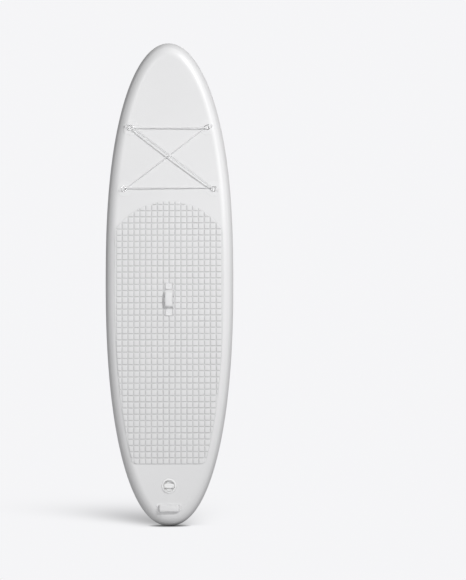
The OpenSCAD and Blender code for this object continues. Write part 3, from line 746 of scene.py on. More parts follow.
def webbing():
    """Flat woven tape: fine ribs across, yarns along, with painted shade in the grooves between the ribs."""
    f = Finish("nylon_webbing", (0.77, 0.77, 0.775), 0.6, specular=0.4, coords="UV")
    f.relief(f.math("ABSOLUTE", f.ribs("Y", 2.4 * MM)), 0.16 * MM)
    f.relief(f.ribs("X", 1.5 * MM), 0.06 * MM)
    # Painted shade: the colour darkens in the grooves between the ribs.
    f.tint(f.math("ABSOLUTE", f.ribs("Y", 2.4 * MM)), 0.9, 1.02)
    f.tint(f.noise(700, 2), 0.96, 1.03)
    f.roughen(f.noise(500, 2), 0.5, 0.7)
    return f.sheen(0.2).done()


def sleeve_cloth():
    """Padded sleeve: smooth knit over foam, with a soft nap."""
    f = Finish("sleeve_cloth", (0.79, 0.79, 0.795), 0.7, specular=0.35, coords="UV")
    knit = f.math("MULTIPLY", f.ribs("X", 1.2 * MM), f.ribs("Y", 1.0 * MM))
    f.relief(knit, 0.05 * MM)
    f.relief(f.noise(90, 3), 0.35 * MM)
    f.tint(f.noise(1500, 2), 0.96, 1.03)
    f.tint(f.noise(40, 2), 0.985, 1.01)
    f.roughen(f.noise(350, 2), 0.62, 0.8)
    return f.sheen(0.3).done()


def moulded(name, tone, roughness):
    """Injection-moulded plastic: a fine spark-eroded grain, edges polished by handling and so a little lighter, and
    painted shade darkening its hollows and recesses.
    """
    f = Finish(name, tone, roughness)
    f.relief(f.noise(1800, 2), 0.02 * MM)
    f.relief(f.noise(70, 2), 0.08 * MM)
    f.tint(f.noise(30, 3), 0.985, 1.012)
    # Edges a little lighter as wear; hollows a little darker as painted shade.
    f.edges(0.04)
    f.roughen(f.noise(220, 4), roughness - 0.06, roughness + 0.1)
    # Painted shade: ambient occlusion darkens recesses such as the valve's well.
    return f.cavity(14 * MM, 0.42).done()


def steel(name="polished_steel", tone=(0.92, 0.92, 0.92), roughness=0.16):
    """Drawn stainless wire, tumbled: fine marks along it."""
    f = Finish(name, tone, roughness, metallic=1.0, coords="UV")
    f.relief(f.noise(1500, 3, (1, 0.06, 1)), 0.02 * MM)
    f.tint(f.noise(120, 3), 0.93, 1.04)
    f.roughen(f.noise(400, 3, (1, 0.1, 1)), roughness - 0.07, roughness + 0.14)
    return f.done()


def brass():
    f = Finish("bare_brass", (0.68, 0.47, 0.17), 0.3, metallic=1.0)
    f.relief(f.noise(1500, 3), 0.02 * MM)
    f.tint(f.noise(150, 3), 0.86, 1.05)
    f.roughen(f.noise(300, 3), 0.24, 0.42)
    return f.done()


def braid():
    """Braided sheath: two sets of yarn bundles crossing on the round."""
    f = Finish("braided_sheath", (0.78, 0.78, 0.785), 0.6, specular=0.35, coords="UV")
    turn = 2 * math.pi / (3.0 * MM)
    u = f.math("MULTIPLY", f.part("X"), turn)
    v = f.math("MULTIPLY", f.part("Y"), turn / 1.4)
    left = f.math("SINE", f.math("ADD", u, v))
    right = f.math("SINE", f.math("SUBTRACT", u, v))
    cross = f.math("MULTIPLY", left, right)
    f.relief(cross, 0.16 * MM)
    f.tint(f.math("ABSOLUTE", cross), 0.88, 1.03)
    f.tint(f.noise(1500, 2), 0.97, 1.03)
    f.roughen(f.noise(600, 2), 0.52, 0.7)
    return f.sheen(0.25).done()


def thread():
    f = Finish("sewing_thread", (0.78, 0.78, 0.78), 0.55)
    f.relief(f.noise(2600, 2), 0.05 * MM)
    f.tint(f.noise(900, 2), 0.9, 1.05)
    return f.sheen(0.2).done()


def rubber():
    f = Finish("black_rubber", (0.035, 0.035, 0.037), 0.6, specular=0.4)
    f.relief(f.noise(700, 3), 0.03 * MM)
    f.tint(f.noise(120, 3), 0.85, 1.2)
    f.roughen(f.noise(200, 3), 0.5, 0.72)
    return f.done()


def base_cloth(name, tone):
    """The uncoated inner side of the hull's cloth: a plain weave."""
    f = Finish(name, tone, 0.85, specular=0.3)
    f.relief(f.math("MULTIPLY", f.ribs("X", 1.4 * MM), f.ribs("Z", 1.4 * MM)), 0.12 * MM)
    f.tint(f.noise(600, 2), 0.92, 1.04)
    f.roughen(f.noise(300, 2), 0.8, 0.95)
    return f.done()


PVC = pvc("pvc_skin")
PVC_BAND = pvc("pvc_rail_band", (0.70, 0.70, 0.705), 0.33)
PVC_PATCH = pvc("pvc_patch", (0.775, 0.775, 0.78), 0.34)
FOAM = foam()
WEB = webbing()
SLEEVE = sleeve_cloth()
WHITE = moulded("white_plastic", (0.89, 0.89, 0.89), 0.30)
PLATE = moulded("end_plate_plastic", (0.80, 0.80, 0.805), 0.42)
FIN = moulded("fin_plastic", (0.72, 0.72, 0.725), 0.34)
STEEL = steel()
SCREW_STEEL = steel("turned_steel", (0.62, 0.62, 0.63), 0.3)
BRASS = brass()
BRAID = braid()
THREAD = thread()
RUBBER = rubber()
CLOTH = base_cloth("base_cloth", (0.62, 0.62, 0.61))
WALL_TAPE = base_cloth("wall_tape", (0.58, 0.58, 0.58))
YARN = base_cloth("stitch_yarn", (0.74, 0.74, 0.72))


def piece(obj, body, slot, *nodes):
    """The object rides on a body, takes its finish from a slot and stands for CAD nodes."""
    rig.ride(obj, body)
    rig.slot(obj, slot)
    if nodes:
        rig.replaces(obj, *nodes)
    return obj


# ---- hull ----

VALVE_Z = centre("valve_housing").z
VALVE = deck_place(0, VALVE_Z)
VALVE_HOLE_R = 38.6 * MM
DECK_RAILS = np.linspace(90, 0, 19)
SIDE_RAILS = np.linspace(90, -90, 37)


def hole_cutter():
    a = circle(VALVE_HOLE_R, 96)
    rings = [np.column_stack([a, np.full(len(a), h)]) for h in (-10 * MM, 10 * MM)]
    return grid_solid("valve_hole", VALVE.world(np.array(rings)), CLOTH)


def rail_band():
    """The outer rail tape, its long edges feathered by the weld."""
    rails = np.linspace(45, -45, 31)
    feather = np.ones(len(rails))
    feather[[0, -1]] = 0.15
    feather[[1, -2]] = 0.85
    outer = np.stack([wall([r], -BAND_T * (1 - f))[:, 0] for r, f in zip(rails, feather)], 1)
    inner = wall(rails, -BAND_T)
    rings = np.concatenate([outer, inner[:, ::-1]], 1)
    return grid_solid("rail_band", rings, PVC_BAND, closed=True, angle=60)


def build_hull():
    deck = wall_layer("deck_shell", DECK_RAILS, -BAND_T, -BAND_T - SKIN_T, PVC, "first")
    cut(deck, [hole_cutter()])
    bottom = wall_layer("bottom_shell", -DECK_RAILS[::-1], -BAND_T, -BAND_T - SKIN_T, PVC, "last")
    inner = [-BAND_T - SKIN_T, -BAND_T - 2 * SKIN_T]
    deck_cloth = wall_layer("deck_base_cloth", [90], *inner, CLOTH, "first")
    cut(deck_cloth, [hole_cutter()])
    bottom_cloth = wall_layer("bottom_base_cloth", [-90], *inner, CLOTH, "first")
    side = wall_layer("rail_inner_wall", SIDE_RAILS, *inner, WALL_TAPE)
    piece(deck, "board", "pvc_skin", "deck_skin")
    piece(bottom, "board", "pvc_skin", "bottom_skin")
    piece(deck_cloth, "board", "base_weave", "deck_weave")
    piece(bottom_cloth, "board", "base_weave", "bottom_weave")
    piece(side, "board", "rail_wall", "inner_rail_wall")
    piece(rail_band(), "board", "pvc_skin", "outer_rail_band")
    return deck


# ---- traction pad: tiles with grooves between them, cut by the pad's outline ----

PAD_MARGIN = 62.5 * MM
PAD_BOTTOM, PAD_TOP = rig.box("traction_pad")[0].z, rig.box("traction_pad")[1].z
PAD_ARCH_R = 412 * MM
PAD_CORNER = 38 * MM
PAD_Y = (-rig.box("traction_pad")[1].y, -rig.box("traction_pad")[0].y)   # -y of the foam's back and face
TILE_PITCH = (37.1 * MM, 38.95 * MM)
TILE_GAP = 6.2 * MM
TILE_R = 3.4 * MM
TILE_EDGE = 1.9 * MM
PAD_BORDER = 2.4 * MM
GROOVE_DEPTH = 3.4 * MM


def clip(polygon, normal, limit):
    """The part of a convex polygon where point . normal <= limit."""
    d = polygon @ normal - limit
    out = []
    for i in range(len(polygon)):
        j = (i + 1) % len(polygon)
        if d[i] <= 0:
            out.append(polygon[i])
        if (d[i] < 0) != (d[j] < 0) and d[i] != d[j]:
            out.append(polygon[i] + (polygon[j] - polygon[i]) * d[i] / (d[i] - d[j]))
    return np.array(out).reshape(-1, 2)


def half_planes(polygon):
    """Outward normals and limits of a counter-clockwise convex polygon's sides."""
    step = np.roll(polygon, -1, 0) - polygon
    size = np.hypot(step[:, 0], step[:, 1])
    keep = size > 1e-7
    normals = np.stack([step[keep, 1], -step[keep, 0]], 1) / size[keep, None]
    return normals, np.einsum("ij,ij->i", normals, polygon[keep])


def eroded(polygon, distance):
    normals, limits = half_planes(polygon)
    out = polygon
    for n, limit in zip(normals, limits):
        if len(out) and (out @ n).max() > limit - distance:
            out = clip(out, n, limit - distance)
    return out


def dilated(polygon, r, count):
    """The polygon grown by r, as one point for each of count directions."""
    a = np.linspace(0, 2 * math.pi, count, endpoint=False)
    u = np.stack([np.cos(a), np.sin(a)], 1)
    return polygon[np.argmax(u @ polygon.T, 1)] + r * u


def pad_core():
    """The pad's outline without its rounded corners: the shape that a corner radius grows back."""
    x, z, _, _ = inset_edge(ANGLES, PAD_MARGIN)
    shape = np.stack([x, z], 1)[::-1]
    shape = clip(shape, np.array([0.0, -1.0]), -PAD_BOTTOM)
    hub = np.array([0.0, PAD_TOP - PAD_ARCH_R])
    for a in np.radians(np.arange(2, 179, 1.5)):
        n = np.array([math.cos(a), math.sin(a)])
        shape = clip(shape, n, hub @ n + PAD_ARCH_R)
    return eroded(shape, PAD_CORNER)


def tile_cores(core):
    """Each tile's inner polygon, which the tile's corner radius grows back."""
    border = dilated(core, PAD_CORNER - PAD_BORDER, 720)
    normals, limits = half_planes(border)
    cores = []
    w, h = (p - TILE_GAP for p in TILE_PITCH)
    columns = range(-10, 10)
    rows = range(0, int((PAD_TOP - PAD_BOTTOM) / TILE_PITCH[1]) + 1)
    for i in columns:
        for j in rows:
            mid = np.array([(i + 0.5) * TILE_PITCH[0], PAD_BOTTOM + (j + 0.5) * TILE_PITCH[1]])
            tile = mid + np.array([(-w, -h), (w, -h), (w, h), (-w, h)]) / 2
            outside = np.nonzero((tile @ normals.T - limits).max(0) > 0)[0]
            for k in outside:
                if len(tile):
                    tile = clip(tile, normals[k], limits[k])
            if len(tile) < 3:
                continue
            tile = eroded(tile, TILE_R)
            if len(tile) >= 3 and np.ptp(tile, 0).min() > 1.5 * MM:
                cores.append(tile)
    return cores


def tab_window(side):
    """The cutter for the opening round one end tab of the carry handle."""
    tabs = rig.box("carry_handle_tabs")
    mid = centre("carry_handle_tabs").z
    reach = (tabs[1].z - tabs[0].z) / 2 + 2 * MM
    inner = 48.5 * MM
    ring = rounded_rect(50 * MM, reach - inner, 2 * MM, 4)
    ring = ring + [0, side * (reach + inner) / 2]
    loops = [[(x, -PAD_Y[0] + y, mid + z) for x, z in ring] for y in (5 * MM, -12 * MM)]
    return grid_solid("tab_window", np.array(loops), CLOTH)


def build_pad():
    count = 32
    core = pad_core()
    outline = dilated(core, PAD_CORNER, 720)
    cores = tile_cores(core)
    face, back = PAD_Y[1], PAD_Y[0]
    floor = face - GROOVE_DEPTH
    flat = [tuple(p) for p in outline]
    for tile in cores:
        flat += [tuple(p) for p in dilated(tile, TILE_R, count)]
    rim = len(outline)
    edges = [(i, (i + 1) % rim) for i in range(rim)]
    for t in range(len(cores)):
        base = rim + t * count
        edges += [(base + i, base + (i + 1) % count) for i in range(count)]
    found = geometry.delaunay_2d_cdt([Vector(p) for p in flat], edges, [], 0, 1e-7)
    points, triangles, source = found[0], found[2], found[3]
    owner = np.array([(s[0] - rim) // count if s and s[0] >= rim else -1 for s in source])
    index = np.array([s[0] if s else -1 for s in source])
    verts = [(p[0], -floor, p[1]) for p in flat]
    faces = []
    for tri in triangles:
        owners = owner[list(tri)]
        if owners[0] >= 0 and (owners == owners[0]).all():
            continue
        faces.append(tuple(index[list(tri)]))
    for t, tile in enumerate(cores):
        base = rim + t * count
        loops = [list(range(base, base + count))]
        for turn in (0.0, 0.35, 0.7, 1.0):
            inset = TILE_EDGE * (1 - math.cos(turn * math.pi / 2))
            drop = TILE_EDGE * (1 - math.sin(turn * math.pi / 2))
            loops.append(list(range(len(verts), len(verts) + count)))
            verts += [(x, -(face - drop), z) for x, z in dilated(tile, TILE_R - inset, count)]
        for low, high in zip(loops, loops[1:]):
            faces += [(low[i], low[(i + 1) % count], high[(i + 1) % count], high[i]) for i in range(count)]
        faces.append(tuple(loops[-1]))
    lower = list(range(len(verts), len(verts) + rim))
    verts += [(x, -back, z) for x, z in outline]
    faces += [(i, (i + 1) % rim, lower[(i + 1) % rim], lower[i]) for i in range(rim)]
    faces.append(tuple(lower))
    pad = make("foam_pad", verts, faces, FOAM, angle=40)
    cut(pad, [tab_window(-1), tab_window(1)])
    piece(pad, "board", "eva_foam", "traction_pad")


# ---- handles ----

WEB_T = 2.2 * MM
GRIP_T = 7.2 * MM
CHANNEL_INSET = 5.5 * MM         # from the sleeve's long edge to its sewn channel
PATCH_LOW, PATCH_HIGH = 0.15 * MM, 1.35 * MM
WEB_LOW = 1.5 * MM
TAB_SIZE = (46 * MM, 38 * MM)
CARRY_FOOT = 60 * MM             # from the carry handle's middle to where its arch starts
CARRY_WIDTHS = (46 * MM, 38 * MM)  # of the sleeve and of the webbing
TAIL_WIDTHS = (40 * MM, 32 * MM)


def arch_path(foot, rise, lean, tail, low, shoulder, crown):
    """A strap's middle line from its side: flat foot, arch, flat foot, as (along, height)."""
    corner = -foot + lean * low / rise
    half = [(-foot - tail, low), (corner, low), (-foot + lean, rise)]
    points = half + [(-x, h) for x, h in reversed(half)]
    curve = fillet(points, [0, 5 * MM, shoulder, shoulder, 5 * MM, 0], 9, closed=False)
    run = np.concatenate([[0], np.cumsum(np.hypot(*np.diff(curve, axis=0).T))])
    even = np.linspace(0, run[-1], int(run[-1] / (1.6 * MM)) + 1)
    along, height = np.interp(even, run, curve[:, 0]), np.interp(even, run, curve[:, 1])
    lift = crown * np.cos(np.clip(along / (foot - lean), -1, 1) * math.pi / 2)
    return np.stack([along, height + lift], 1)


def strap_section(width, thickness, edge, spans=12):
    ring = rounded_rect(width, thickness, edge, 4)
    extra = []
    for i, p in enumerate(ring):
        q = ring[(i + 1) % len(ring)]
        count = spans if np.linalg.norm(q - p) > 0.4 * width else 1
        extra += [p + (q - p) * t for t in np.linspace(0, 1, count, endpoint=False)]
    return np.array(extra)


def sleeve_section(width, thickness):
    """A padded sleeve: a soft crown between two sewn channels near its long edges."""
    ring = strap_section(width, thickness, 2.6 * MM, 60)
    x = np.abs(ring[:, 0])
    channel = width / 2 - CHANNEL_INSET
    pinch = 1.0 * MM * np.exp(-((x - channel) / (1.2 * MM)) ** 2)
    crown = 0.5 * MM * np.cos(np.clip(x / channel, 0, 1) * math.pi / 2)
    ring[:, 1] += np.sign(ring[:, 1]) * (crown - pinch) * (np.abs(ring[:, 1]) > thickness * 0.3)
    return ring


def build_handle(prefix, place, foot, rise, lean, widths, tail, sleeve_low, shoulder):
    """Webbing strap with a padded sleeve on its arch. Returns the sleeve's stitch rows."""
    width, web_width = widths
    web = arch_path(foot, rise, lean, tail, WEB_LOW + WEB_T / 2, shoulder, 1.0 * MM)
    side = place.axes[0]

    def world(path):
        return place.world(np.column_stack([np.zeros(len(path)), path]))
    strap = sweep(prefix + "_webbing_strap", world(web), side, strap_section(web_width, WEB_T, 0.5 * MM), WEB)
    piece(strap, "board", "webbing", prefix + "_webbing")
    arch = web[web[:, 1] > sleeve_low]
    reach = np.abs(arch[:, 0]).max()
    end = 1 - np.abs(arch[:, 0]) / reach
    plump = 0.72 + 0.28 * np.clip(end / 0.10, 0, 1) ** 0.5
    wrinkle = 1 + 0.02 * np.sin(arch[:, 0] / (2.1 * MM)) * np.exp(-end / 0.08)
    corner = np.clip(end * reach / (5 * MM), 0, 1)
    taper = np.stack([0.90 + 0.10 * np.sqrt(1 - (1 - corner) ** 2), plump * wrinkle], 1)
    section = sleeve_section(width, GRIP_T)
    sleeve = sweep(prefix + "_padded_sleeve", world(arch), side, section, SLEEVE, taper=taper)
    piece(sleeve, "board", "grip_cloth", prefix + "_grip")
    t = tangents(world(arch))
    up = np.cross(side, t)
    up *= np.sign(up @ place.axes[2])[:, None]
    rows = []
    for s in (-1, 1):
        line = world(arch) + s * (width / 2 - CHANNEL_INSET) * np.array(side) + up * (GRIP_T / 2 - 0.75 * MM)
        rows.append((line[3:-3], up[len(up) // 2]))
    return rows


def build_handles(lay):
    carry = deck_place(0, centre("carry_handle_tabs").z)
    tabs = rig.box("carry_handle_tabs")
    tab_reach = (tabs[1].z - tabs[0].z) / 2
    tab_low = -tabs[1].y - (HALF_T - HULL_Y)
    tab_high = -tabs[0].y - (HALF_T - HULL_Y)
    rows = build_handle("carry_handle", carry, CARRY_FOOT, 25 * MM, 20 * MM, CARRY_WIDTHS,
                        tab_reach - CARRY_FOOT, tab_high + 0.4 * MM, 16 * MM)
    patches, plates = [], []
    for s in (-1, 1):
        mid = carry.moved(y=s * (tab_reach - TAB_SIZE[1] / 2))
        patches.append(plate("patch", (48 * MM, 42 * MM), 4 * MM, PATCH_LOW, PATCH_HIGH, mid, PVC_PATCH))
        plates.append(plate("end_plate", TAB_SIZE, 3 * MM, tab_low, tab_high, mid, PLATE, 0.9 * MM))
        rows.append(box_row(mid, 38 * MM, 30 * MM, tab_high + 0.15 * MM))
        for d in (-1, 1):
            rows.append(line_row(mid, (-16 * MM, -d * 12 * MM), (16 * MM, d * 12 * MM), tab_high + 0.15 * MM))
    piece(joined("carry_handle_base_patches", patches), "board", "pvc_patch", "carry_handle_patches")
    piece(joined("carry_handle_end_plates", plates), "board", "white_plastic", "carry_handle_tabs")
    piece(thread_rows("carry_handle_stitching", rows, THREAD), "board", "stitch_thread")

    tail = deck_place(0, centre("tail_handle_patch").z).turned(90)
    size = extent("tail_handle_patch")
    foot, tail_end = extent("tail_handle_grip").x / 2, extent("tail_handle_webbing").x / 2
    rows = build_handle("tail_handle", tail, foot, 20 * MM, 12 * MM, TAIL_WIDTHS, tail_end - foot,
                        5.2 * MM, 9 * MM)
    base = plate("tail_handle_base_patch", (size.z, size.x), size.z / 2, PATCH_LOW, PATCH_HIGH, tail,
                 PVC_PATCH, drape=lay, rings=8, steps=16)
    piece(base, "board", "pvc_patch", "tail_handle_patch")
    for s in (-1, 1):
        row = tail.moved(y=s * (tail_end - 7 * MM))
        rows.append(box_row(row, 24 * MM, 8 * MM, WEB_LOW + WEB_T + 0.1 * MM))
    piece(thread_rows("tail_handle_stitching", rows, THREAD), "board", "stitch_thread")


# ---- cargo rings and cord ----

# The cord's round, and for each ring the rings that its low end and its high end lead to
CORD_GOES = {
    "top_left": ("top_right", "bottom_right"),
    "bottom_right": ("bottom_left", "top_left"),
    "bottom_left": ("top_right", "bottom_right"),
    "top_right": ("bottom_left", "top_left"),
}
WIRE_R = 2.0 * MM
RING_HALF = 14 * MM
RING_CORNER = 4 * MM
CORD_R = 3.0 * MM
CORD_TURN_R = WIRE_R + 0.4 * MM + CORD_R
BAR_H = 5.56 * MM               # the ring's bar over the deck
CORD_LOW = 5.4 * MM
RING_TILT = math.radians(10.786)
CARGO_PATCH_D = 97 * MM
CARGO_PAD_D = 62 * MM            # the small second disc under the ring
LEAD = 14 * MM


def ring_place(corner):
    """The ring's frame: origin on its bar, +X to its bow, +Z away from the deck."""
    joint = JOINTS["ring_" + corner + "_tilt"]
    bar = np.array(joint["pos_m"])
    t = float(kick_angle(np.float64(bar[2] + BAR_H * 0.3)))
    y = -np.array(joint["axis"])
    z = np.array([0, -math.cos(t), -math.sin(t)])
    z -= (z @ y) * y
    z /= np.linalg.norm(z)
    return Place(bar, np.cross(y, z), y, z)


def ring_wire(corner):
    """A D-shaped loop of round wire, tilted up from its bar."""
    place = ring_place(corner)
    bar = RING_HALF - RING_CORNER
    path = [(0, y) for y in np.linspace(-bar, bar, 9)]
    for a in np.radians(np.arange(170, 90, -10)):
        path.append((RING_CORNER + RING_CORNER * math.cos(a), bar + RING_CORNER * math.sin(a)))
    path += [(x, RING_HALF) for x in np.linspace(RING_CORNER, RING_HALF, 5)]
    for a in np.radians(np.arange(84, -90, -6)):
        path.append((RING_HALF + RING_HALF * math.cos(a), RING_HALF * math.sin(a)))
    path += [(x, -RING_HALF) for x in np.linspace(RING_HALF, RING_CORNER, 5)]
    for a in np.radians(np.arange(-100, -180, -10)):
        path.append((RING_CORNER + RING_CORNER * math.cos(a), -bar + RING_CORNER * math.sin(a)))
    c, s = math.cos(RING_TILT), math.sin(RING_TILT)
    world = place.world([(x * c, y, x * s) for x, y in path])
    normal = place.world([-s, 0, c]) - place.origin
    ring = sweep("cargo_d_ring_" + corner, world, normal, circle(WIRE_R, 16), STEEL, closed=True)
    piece(ring, "cargo_ring_" + corner + "_body", "ring_steel", "cargo_ring_" + corner)


def ring_tab(corner):
    """A strap folded round the ring's bar and sewn down behind it."""
    place = ring_place(corner)
    layer = 1.25 * MM
    r = WIRE_R + 0.06 * MM + layer / 2
    low = [(x, -r) for x in np.linspace(-22 * MM, -1 * MM, 12)]
    turn = [(r * math.cos(a), r * math.sin(a)) for a in np.radians(np.arange(-90, 136, 12))]
    top = smooth_curve([turn[-1], (-4.6 * MM, 0.1 * MM), (-8 * MM, -r + layer * 1.04),
                        (-12 * MM, -r + layer * 1.02), (-21.4 * MM, -r + layer * 1.02)], 5)
    path = np.array(low + turn[:-1] + list(map(tuple, top)))
    world = place.world(np.column_stack([path[:, 0], np.zeros(len(path)), path[:, 1]]))
    tab = sweep("cargo_tab", world, place.axes[1], strap_section(18 * MM, layer, 0.45 * MM), WEB)
    height = -r + layer * 1.55
    rows = [box_row(place.moved(x=-15.5 * MM), 9 * MM, 13 * MM, height, 1 * MM)]
    for d in (-1, 1):
        rows.append(line_row(place, (-19 * MM, -d * 5 * MM), (-12 * MM, d * 5 * MM), height))
    return tab, rows


def cord_piece(name, path, reference):
    return sweep(name, path, reference, circle(CORD_R, 14), BRAID, angle=60)


def ring_turn_path(corner):
    """The cord through one ring: in low under the bow, round it and out high, in the cord's own order."""
    place = ring_place(corner)
    bow_x, bow_h = 2 * RING_HALF * math.cos(RING_TILT), 2 * RING_HALF * math.sin(RING_TILT)
    low = CORD_LOW - BAR_H
    high = bow_h + CORD_TURN_R
    bow = place.world([bow_x, 0, bow_h])

    def lead(target, height):
        aim = ring_place(target)
        d = aim.world([bow_x, 0, bow_h]) - bow
        d -= (d @ place.axes[2]) * place.axes[2]
        d /= np.linalg.norm(d)
        return place.world([bow_x, 0, height]) + LEAD * d
    turn = [place.world([bow_x + CORD_TURN_R * math.cos(a), 0, bow_h + CORD_TURN_R * math.sin(a)])
            for a in np.radians(np.arange(-90, -271, -22.5))]
    low_to, high_to = CORD_GOES[corner]
    return lead(low_to, low), turn, lead(high_to, high), low_to, high_to


def build_cargo(lay):
    discs, tabs, rows = [], [], []
    for corner in CORD_GOES:
        ring_wire(corner)
        tab, tab_rows = ring_tab(corner)
        tabs.append(tab)
        rows += tab_rows
        place = ring_place(corner).moved(x=RING_HALF, z=-BAR_H)
        discs.append(plate("disc", (CARGO_PATCH_D, CARGO_PATCH_D), CARGO_PATCH_D / 2, 0.1 * MM, 1.3 * MM,
                           place, PVC_PATCH, 0.6 * MM, lay, 10, 18))
        discs.append(plate("disc", (CARGO_PAD_D, CARGO_PAD_D), CARGO_PAD_D / 2, 1.25 * MM, 2.1 * MM,
                           place, PVC_PATCH, 0.4 * MM, lay, 8, 16))
    piece(joined("cargo_patch_discs", discs), "board", "pvc_patch", "cargo_patches")
    piece(joined("cargo_tab_straps", tabs), "board", "webbing", "cargo_ring_tabs")
    stitching = thread_rows("cargo_tab_stitching", rows, THREAD, 3 * MM, 2.2 * MM, 0.3 * MM)
    piece(stitching, "board", "stitch_thread")

    ends = {}
    for corner in CORD_GOES:
        low, turn, high, low_to, high_to = ring_turn_path(corner)
        ends[corner, low_to] = low
        ends[corner, high_to] = high
    for corner in CORD_GOES:
        low, turn, high, low_to, high_to = ring_turn_path(corner)
        body = "cargo_ring_" + corner + "_body"
        far_low, far_high = ends[low_to, corner], ends[high_to, corner]
        before, after = low + (low - far_low) * -0.02, high + (far_high - high) * 0.02
        path = smooth_curve([before, low, *turn, high, after], 5)[5:-5]
        loop = cord_piece("bungee_turn_" + corner, path, ring_place(corner).axes[1])
        piece(loop, body, "cord", "bungee_cord")
        for near, target in ((low, low_to), (high, high_to)):
            far = ends[target, corner]
            mid = (near + far) / 2
            run = np.linspace(near, mid, 40)
            half = cord_piece("bungee_run_" + corner + "_to_" + target, run, (0, -1, 0))
            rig.slot(half, "cord")
            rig.blend(half, "board", body, start=mid, end=near)


# ---- valve ----

def rounded_profile(points, r, steps=4):
    """A turned profile with its corners softened, except on the axis."""
    radii = [0 if p[0] <= 0 else r for p in points]
    return fillet([(x * MM, z * MM) for x, z in points], [v * MM for v in radii], steps)


def bar_outline(half_length, half_width, inset=0.0):
    """A bar across a round well: straight long sides, ends that follow the well's wall."""
    r, w = half_length - inset, half_width - inset
    reach = math.asin(w / r)
    right = [(r * math.cos(a), r * math.sin(a)) for a in np.linspace(-reach, reach, 17)]
    left = [(-x, -y) for x, y in right]
    return np.array(right + left)


def layered(name, outline, levels, place, material):
    """A solid from loops of one outline function at (inset, height) levels."""
    rings = [np.column_stack([outline(i), np.full(len(outline(0)), h)]) for i, h in levels]
    return grid_solid(name, place.world(np.array(rings)), material)


def soft_levels(low, top, edge, inner):
    out = [(inner, low), (0, low)]
    for b in np.linspace(0, math.pi / 2, 5):
        out.append((edge * (1 - math.cos(b)), top - edge * (1 - math.sin(b))))
    return out + [(inner, top)]


def build_housing():
    ring_r = extent("valve_gasket").x / 2 / MM + 1.0
    profile = [(36, 5.0), (37.2, 5.0), (ring_r - 3, 5.0), (ring_r, 2.6), (ring_r, 1.2), (38, 1.2), (38, -23),
               (15, -23), (15, -48), (10.5, -48), (10.5, -27), (12.5, -27), (12.5, -17), (15, -17), (15, -20),
               (36, -20)]
    parts = [lathe("shell", rounded_profile(profile, 0.9, 5), VALVE, WHITE, 144)]
    for turn in range(4):
        lug = VALVE.turned(45 + 90 * turn).moved(x=35.6 * MM, z=-1.4 * MM)
        parts.append(layered("lug", lambda i: rounded_rect(1.8 * MM - i, 9 * MM - 2 * i, 0.8 * MM, 4),
                             soft_levels(-1.2 * MM, 1.6 * MM, 0.4 * MM, 0.5 * MM), lug, WHITE))
    guide_top, guide_low = -43.5 * MM, -46.5 * MM
    parts.append(lathe("guide", rounded_profile([(3.05, -46.5), (6, -46.5), (6, -43.5), (3.05, -43.5)], 0.3),
                       VALVE, WHITE, 48))
    for turn in range(3):
        spoke = VALVE.turned(120 * turn).moved(x=8.3 * MM)
        parts.append(layered("spoke", lambda i: rounded_rect(5.4 * MM - i, 3 * MM - i, 0.4 * MM, 3),
                             soft_levels(guide_low, guide_top, 0.3 * MM, 0.6 * MM), spoke, WHITE))
    post = [(0, -21), (1.6, -21), (1.6, -13.6), (1.9, -13.2), (1.9, -12.9), (0, -12.9)]
    parts.append(lathe("anchor", rounded_profile(post, 0.2), VALVE.moved(x=-26 * MM), WHITE, 24))
    piece(joined("valve_ring_and_well", parts), "board", "white_plastic", "valve_housing")


def build_cap():
    disc = [(0, -12), (34.8, -12), (34.8, -6.2), (33.65, -6.2), (33.65, -3.8), (34.8, -3.8), (34.8, 3),
            (32.4, 3), (32.0, -8.4), (31.0, -9), (12, -9), (10.5, -9.6), (0, -9.6)]
    neck = [(15.8, -18.2), (18.3, -18.2), (18.3, -16.8), (17.4, -16.8), (17.4, -11.5), (15.8, -11.5)]
    parts = [lathe("dish", rounded_profile(disc, 0.7, 5), VALVE, WHITE, 144),
             lathe("neck", rounded_profile(neck, 0.4), VALVE, WHITE, 96)]
    bar = [(0, -11.5 * MM), (0, -1.2 * MM)]
    for b in np.linspace(0, math.pi / 2, 7):
        bar.append((3.2 * MM * (1 - math.cos(b)), 2 * MM - 3.2 * MM * (1 - math.sin(b))))
    bar += [(6 * MM, 2 * MM), (9 * MM, 1.7 * MM), (11 * MM, 1.5 * MM)]
    parts.append(layered("bar", lambda i: bar_outline(32.7 * MM, 13 * MM, i), bar, VALVE, WHITE))
    for s in (-1, 1):
        knob = VALVE.moved(x=s * 24.5 * MM)
        profile = [(0, 1.2), (4.6, 1.2), (4.6, 2.3), (3.6, 2.9), (0, 2.9)]
        parts.append(lathe("end_pad", rounded_profile(profile, 0.6), knob, WHITE, 40))
    piece(joined("valve_cap_with_bar", parts), "valve_cap_body", "white_plastic", "valve_cap")


